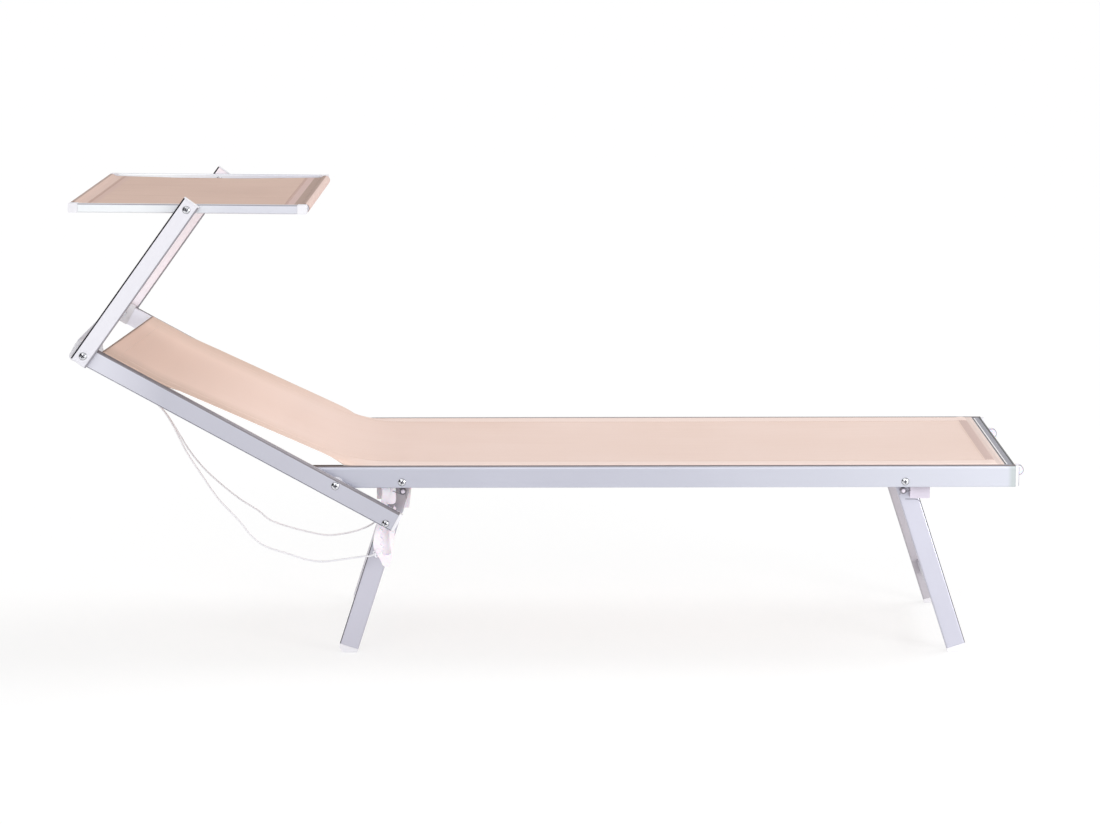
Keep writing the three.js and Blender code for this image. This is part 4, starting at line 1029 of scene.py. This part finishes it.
def screw_mesh(name, centre, sign, head, nut=None, shank=4.0, turned=20.0):
    """head and nut are (seat, radius, height) in millimetres; seat is the distance from the middle plane. The
    head is a low dome on a rim, and RECESS_BAR is a share of its radius."""
    seat, radius, height = head
    angle = np.linspace(0, 2 * math.pi, SPOKES, endpoint=False)
    inner = np.linspace(0, 1, 17)[:, None] * radius
    own = angle + math.radians(turned)
    u, v = inner * np.cos(own), inner * np.sin(own)
    bar = np.multiply(RECESS_BAR, radius)
    cross = np.maximum(dip(u, v, *bar), dip(v, u, *bar))
    dome = RIM_SHARE + (1 - RIM_SHARE) * (1 - (inner / radius) ** 2)
    radii, heights, shaded = [inner + 0 * angle], [seat + height * dome - RECESS_DEPTH * cross], [cross]
    flats = 1 / np.cos((angle + math.pi / 6) % (math.pi / 3) - math.pi / 6)
    washer = radius + WASHER_WIDTH
    rows = [(radius + 0.05, seat + 0.5), (washer, seat + 0.45), (washer, seat), (shank, seat)]
    if nut:
        nut_seat, nut_radius, nut_height = nut
        flat, nut_end = nut_radius * math.cos(math.pi / 6), nut_seat - nut_height
        rows += [(shank, nut_seat), (flat * flats, nut_seat), (flat * flats, nut_seat - 0.82 * nut_height),
                 (flat * 0.95, nut_end), (shank, nut_end), (shank - 0.6, nut_end - 0.9),
                 (0.0, nut_end - 0.9)]
    else:
        rows += [(shank, seat - 1.0), (0.0, seat - 1.0)]
    for row_radius, row_height in rows:
        radii.append(np.broadcast_to(row_radius, (1, SPOKES)))
        heights.append(np.full((1, SPOKES), row_height))
        shaded.append(np.full((1, SPOKES), WASHER_SHADE * (row_height > seat)))
    radii, heights = np.concatenate(radii) * MM, np.concatenate(heights) * MM
    x, z = centre[X] + radii * np.cos(angle), centre[Z] + radii * np.sin(angle)
    # The recess mark is painted shade: 1 in the cross, WASHER_SHADE on the head's rim and the washer ring.
    marks = {"recess": np.concatenate(shaded)}
    return grid_mesh(name, np.stack([x, sign * heights, z], -1), closed=True, marks=marks, sharp=32)


screw_steel, tree, shader = principled("bright_screw", paint(224, 225, 229), 0.16, Metallic=1.0)
worn = use(tree, DRIFT, Place=place_of(tree), Scale=260.0)
bright = blend_colours(tree, worn, paint(228, 229, 233), paint(206, 207, 212))
# Painted shade: where the recess mark is 1 the screw is dark grey.
recess_shaded = blend_colours(tree, marked(tree, "recess"), bright, paint(84, 84, 92))
tree.links.new(recess_shaded, shader.inputs["Base Color"])

# Name, body, centre, head, nut and turn of the cross of each pair of screws.
LEG_HEAD, LEG_NUT = (280.3, 6.4, 2.6), (198.0, 6.0, 4.0)
SCREWS = [
    ("leg_hinge_bolt_front", "seat_frame", in_room(LEG_HINGES["front"], 0, LEG_HINGE_LEVEL), LEG_HEAD,
     LEG_NUT, 12.0),
    ("leg_hinge_bolt_rear", "seat_frame", in_room(LEG_HINGES["rear"], 0, LEG_HINGE_LEVEL), LEG_HEAD,
     LEG_NUT, 50.0),
    ("back_pivot_bolt", "seat_frame", in_room(-414, 0, 347), (301.3, 6.8, 3.0), (259.7, 6.5, 4.5), 30.0),
    ("arm_pivot_bolt", "backrest", on_back(-540, 0, -7.2), (318.3, 6.5, 3.1), (282.7, 5.5, 4.5), 65.0),
    ("canopy_pivot_bolt", "canopy_arms", on_canopy(0, 0, 0), (318.3, 6.5, 3.1), (286.7, 5.5, 3.6), 20.0),
]
SIDE_TURN, PIN_CENTRE, PIN_HEAD = 25, on_back(119.3, 0, -17.9), (301.4, 6.2, 3.4)
for side, sign in SIDES.items():
    for name, body, centre, head, nut, turned in SCREWS:
        mesh = screw_mesh(f"{name}_dressed_{side}", centre, sign, head, nut, turned=turned + SIDE_TURN * sign)
        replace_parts(add_piece(mesh, screw_steel, body, "steel"), f"{name}_{side}")
    pin_screw = screw_mesh(f"lock_pin_screw_{side}", PIN_CENTRE, sign, PIN_HEAD, shank=3.5)
    add_piece(pin_screw, screw_steel, "backrest", "steel")
print("screws", 2 * len(SCREWS) + 2)

# %% [markdown]
# ## Small fittings
# Springs on posts push the legs' catches, plugs close the open ends of the metal sections, each rack has a
# thin web behind its slot with a rim along its edge, and each bumper has a rim on both faces. Each is the
# plainest surface of its shape: a tube along a helix, a turned profile, an outline carried along an axis, or
# a thin tube along an edge.

# %% Springs
SPRING_LEVEL, SPRING_RADIUS, SPRING_TURNS, SPRING_WIRE = 325.0, 5.6, 3.25, 0.8
SPRING_DEPTHS, SPRING_START = (247.0, 238.0), -120.0
SPRING_TIP, SPRING_FOOT = (17.0, 0.4, 6.5), (-1.0, -1.0, -12.0)
POST = [(0, 225), (4.1, 225), (4.1, 246.5), (3.4, 247.8), (1.8, 248.4), (0, 248.6)]


def spring_path(centre_x, way):
    """A helix about Y between two straight tails; way is 1 where the long tail points to the foot end."""
    share = np.linspace(0, 1, 90)
    angle = math.radians(SPRING_START) - way * 2 * math.pi * SPRING_TURNS * share
    coil = np.stack([centre_x + SPRING_RADIUS * np.cos(angle), np.interp(share, (0, 1), SPRING_DEPTHS),
                     SPRING_LEVEL + SPRING_RADIUS * np.sin(angle)], -1)
    tip, foot = coil[0] + [way, 1, 1] * np.array(SPRING_TIP), coil[-1] + [way, 1, 1] * np.array(SPRING_FOOT)
    return np.concatenate([np.linspace(tip, coil[0], 8)[:-1], coil, np.linspace(coil[-1], foot, 8)[1:]])


def post_mesh(name, centre_x, sign):
    """The post's profile turned about its own line along Y."""
    radius, depth = np.array(POST).T[:, :, None]
    turn = np.linspace(0, 2 * math.pi, 24, endpoint=False)
    points = in_room(centre_x + radius * np.cos(turn), sign * depth, SPRING_LEVEL + radius * np.sin(turn))
    return grid_mesh(name, points, closed=True, sharp=40)


for label, centre_x in LEG_HINGES.items():
    for side, sign in SIDES.items():
        path = spring_path(centre_x, 1 if label == "front" else -1) * [1, sign, 1] * MM
        spring = tube_mesh(f"catch_spring_{label}_{side}", path, SPRING_WIRE * MM)
        add_piece(spring, spring_steel, "seat_frame", "steel")
        post = post_mesh(f"spring_post_{label}_{side}", centre_x, sign)
        add_piece(post, grey_nylon, "seat_frame", "nylon")
print("springs", 2 * len(LEG_HINGES))

# %% Plugs
PLUG_CORNER = 3.0


def rounded(low, high):
    """A rectangle from low to high whose corners are quarter circles."""
    (left, bottom), (right, top) = np.add(low, PLUG_CORNER), np.subtract(high, PLUG_CORNER)
    corners = {-90: (right, bottom), 0: (right, top), 90: (left, top), 180: (left, bottom)}
    return np.concatenate([
        centre + PLUG_CORNER * arc(start, start + 90, 6) for start, centre in corners.items()])


ARM_SECTION = rounded((-17.0, 304.0), (17.0, 318.0))
RAIL_SECTION = rounded((260.2, 339.2), (279.8, 379.8))
# Name, where it is drawn, outline, axis, start and end along it, softening and body of each pair.
PLUGS = [
    ("arm_plug_low", on_arms, ARM_SECTION, Z, -17.6, -16.0, 0.5, "canopy_arms"),
    ("arm_plug_top", on_arms, ARM_SECTION, Z, 361.0, 362.6, 0.5, "canopy_arms"),
    ("seat_rail_plug", in_room, RAIL_SECTION, X, -463.0, -460.1, 0.6, "seat_frame"),
]
for name, place, outline, axis, start, end, softening, body in PLUGS:
    pair = add_pair(name, place, [outline], axis, start, end, finish=white_plastic, body=body,
                    slot="white_plastic", sharp=35)
    for plug in pair:
        bevel = plug.modifiers.new("softened", "BEVEL")
        bevel.width = softening * MM
        bevel.segments = 2
        bevel.limit_method = "ANGLE"
        bevel.angle_limit = math.radians(35)
print("plugs", 2 * len(PLUGS))

# %% Rack webs and bumper rims
RACK_HINGE = np.array([-318.0, 344.4])
RACK_EDGE = np.array([
    [-12.5, 47], [-16, 62], [-19.5, 79.5], [-24.2, 99.9], [-27.2, 119], [-24, 134], [-18, 144.5],
    [-13.5, 152], [-9, 162], [-4.5, 165.6], [1.5, 165], [6.3, 157.8], [9, 145], [11.2, 130], [14, 106.7],
    [15, 88], [15.6, 70], [17.6, 52],
])
WEB_INSET, WEB_DEPTHS, WEB_RIM_DEPTH = 0.06, (250.6, 247.7), 248.9
BUMPER_CENTRE, BUMPER_RADIUS, BUMPER_ROOT = (909.0, 359.0), 9.2, 897.0
BUMPER_DEPTHS = {"outer": 209.9, "inner": 196.1}

edge = smooth_route(RACK_EDGE, 5)
web_outline = RACK_HINGE + (edge + (edge.mean(0) - edge) * WEB_INSET) * [1, -1]
nose = BUMPER_CENTRE + BUMPER_RADIUS * arc(90, -90, 15)
bumper_edge = np.concatenate([[[BUMPER_ROOT, nose[0, 1]]], nose, [[BUMPER_ROOT, nose[-1, 1]]]])
for side, sign in SIDES.items():
    web = bar_mesh(f"rack_web_{side}", in_room, sign, [web_outline], Y, *WEB_DEPTHS)
    add_piece(web, nylon, f"rack_{side}", "nylon")
    rim = wire_mesh(f"rack_rim_{side}", web_outline, sign * WEB_RIM_DEPTH, 0.9)
    add_piece(rim, nylon, f"rack_{side}", "nylon")
    # The bumper rims' grey tone is painted shade along the bumper's outline.
    for face, depth in BUMPER_DEPTHS.items():
        rim = wire_mesh(f"bumper_rim_{face}_{side}", bumper_edge, sign * depth, 0.65)
        add_piece(rim, rim_nylon_shaded, "seat_frame", "white_plastic")
print("webs", len(SIDES), "rims", len(SIDES) * (1 + len(BUMPER_DEPTHS)))

# %% [markdown]
# ## Floor and light
# A white studio. One far lamp shines from above the foot end and one from the front on the head side, a
# square lamp brightens the near foot end, and two black cards give the rounded metal edges something dark to
# mirror. World and floor look white to the camera, to shiny metal and through clear plastic, but the floor
# keeps the lounger's soft shadow.

# %% Studio
WORLD_LIGHT = 0.62
LAMPS = {
    "key": {"place": (2.4, 1.2, 4.0), "angle": math.radians(40), "energy": 0.95},
    "fill": {"place": (-1.2, -4.0, 1.1), "angle": math.radians(60), "energy": 1.15},
}
SOFTBOX = {"place": (2.7, -2.6, 0.9), "aim": (0.2, 0, 0.3), "size": 1.3, "energy": 60.0}
SHADOW_TONE, BOUNCE_TONE, FLOOR_REACH, FLOOR_LEVEL = 0.30, 0.85, 60.0, -0.0005
CARDS = {"flag_left": -3.2, "flag_right": 3.6}
lamp_on_floor = sum(
    lamp["energy"] * lamp["place"][Z] / math.dist(lamp["place"], (0, 0, 0)) for lamp in LAMPS.values())
FLOOR_GLOW = 1.0 - SHADOW_TONE * (WORLD_LIGHT + lamp_on_floor / math.pi)


def seen_directly(tree):
    """1 for camera, gloss and glass rays, 0 for the rays that carry light from surface to surface."""
    rays = node(tree, "LightPath", {}).outputs
    mirrored = calculated(tree, "MAXIMUM", rays["Is Glossy Ray"], rays["Is Transmission Ray"])
    return calculated(tree, "MAXIMUM", rays["Is Camera Ray"], mirrored)


def stage_sheet(name, corners):
    """A four-cornered sheet of the stage; gives it and the empty node tree of its material."""
    mesh = bpy.data.meshes.new(name)
    mesh.from_pydata(corners, [], [(0, 1, 2, 3)])
    sheet = in_scene(name, mesh)
    material = bpy.data.materials.new(name)
    material.use_nodes = True
    material.node_tree.nodes.clear()
    mesh.materials.append(material)
    return sheet, material.node_tree


def make_floor():
    """A wide sheet just under the feet: a grey that shows shadows, with a glow that lifts it to white."""
    ways = ((-1, -1), (1, -1), (1, 1), (-1, 1))
    _, tree = stage_sheet("floor", [(x * FLOOR_REACH, y * FLOOR_REACH, FLOOR_LEVEL) for x, y in ways])
    seen = seen_directly(tree)
    tone = blend_colours(tree, seen, (*[BOUNCE_TONE] * 3, 1.0), (*[SHADOW_TONE] * 3, 1.0))
    matt = node(tree, "BsdfDiffuse", {"Color": tone})
    glow = node(tree, "Emission", {"Strength": calculated(tree, "MULTIPLY", seen, FLOOR_GLOW)})
    both = node(tree, "AddShader", {0: matt.outputs[0], 1: glow.outputs[0]})
    node(tree, "OutputMaterial", {0: both.outputs[0]})


def make_world():
    """White to the camera, to gloss and through glass, and an even, dimmer light to everything else."""
    world = bpy.data.worlds.new("studio")
    bpy.context.scene.world = world
    world.use_nodes = True
    tree = world.node_tree
    tree.nodes.clear()
    strength = spread(tree, seen_directly(tree), 0, 1, WORLD_LIGHT, 1.0)
    background = node(tree, "Background", {"Color": (1, 1, 1, 1), "Strength": strength})
    node(tree, "OutputWorld", {0: background.outputs[0]})


def make_lamp(name, kind, place, aim=(0, 0, 0), **settings):
    """A lamp at a place, turned to its aim. A far lamp's angle or a square lamp's size softens shadows."""
    data = bpy.data.lights.new(name, kind)
    for key, value in settings.items():
        setattr(data, key, value)
    lamp = in_scene(name, data)
    lamp.location = place
    lamp.rotation_euler = (Vector(aim) - Vector(place)).to_track_quat("-Z", "Y").to_euler()


def make_card(name, x, front=-7, back=1.5, top=4):
    """A black card beside the lounger that only gloss rays see."""
    card, tree = stage_sheet(name, [(x, front, 0), (x, back, 0), (x, back, top), (x, front, top)])
    black = node(tree, "BsdfDiffuse", {"Color": (0.01, 0.01, 0.01, 1.0)})
    node(tree, "OutputMaterial", {0: black.outputs[0]})
    for kind in ("camera", "diffuse", "transmission", "shadow", "volume_scatter"):
        setattr(card, f"visible_{kind}", False)


make_floor()
make_world()
for name, lamp in LAMPS.items():
    make_lamp(name, "SUN", **lamp)
make_lamp("softbox", "AREA", **SOFTBOX)
for name, x in CARDS.items():
    make_card(name, x)
bpy.context.scene.view_settings.view_transform = "Standard"
print(f"floor glow {FLOOR_GLOW:.3f}")
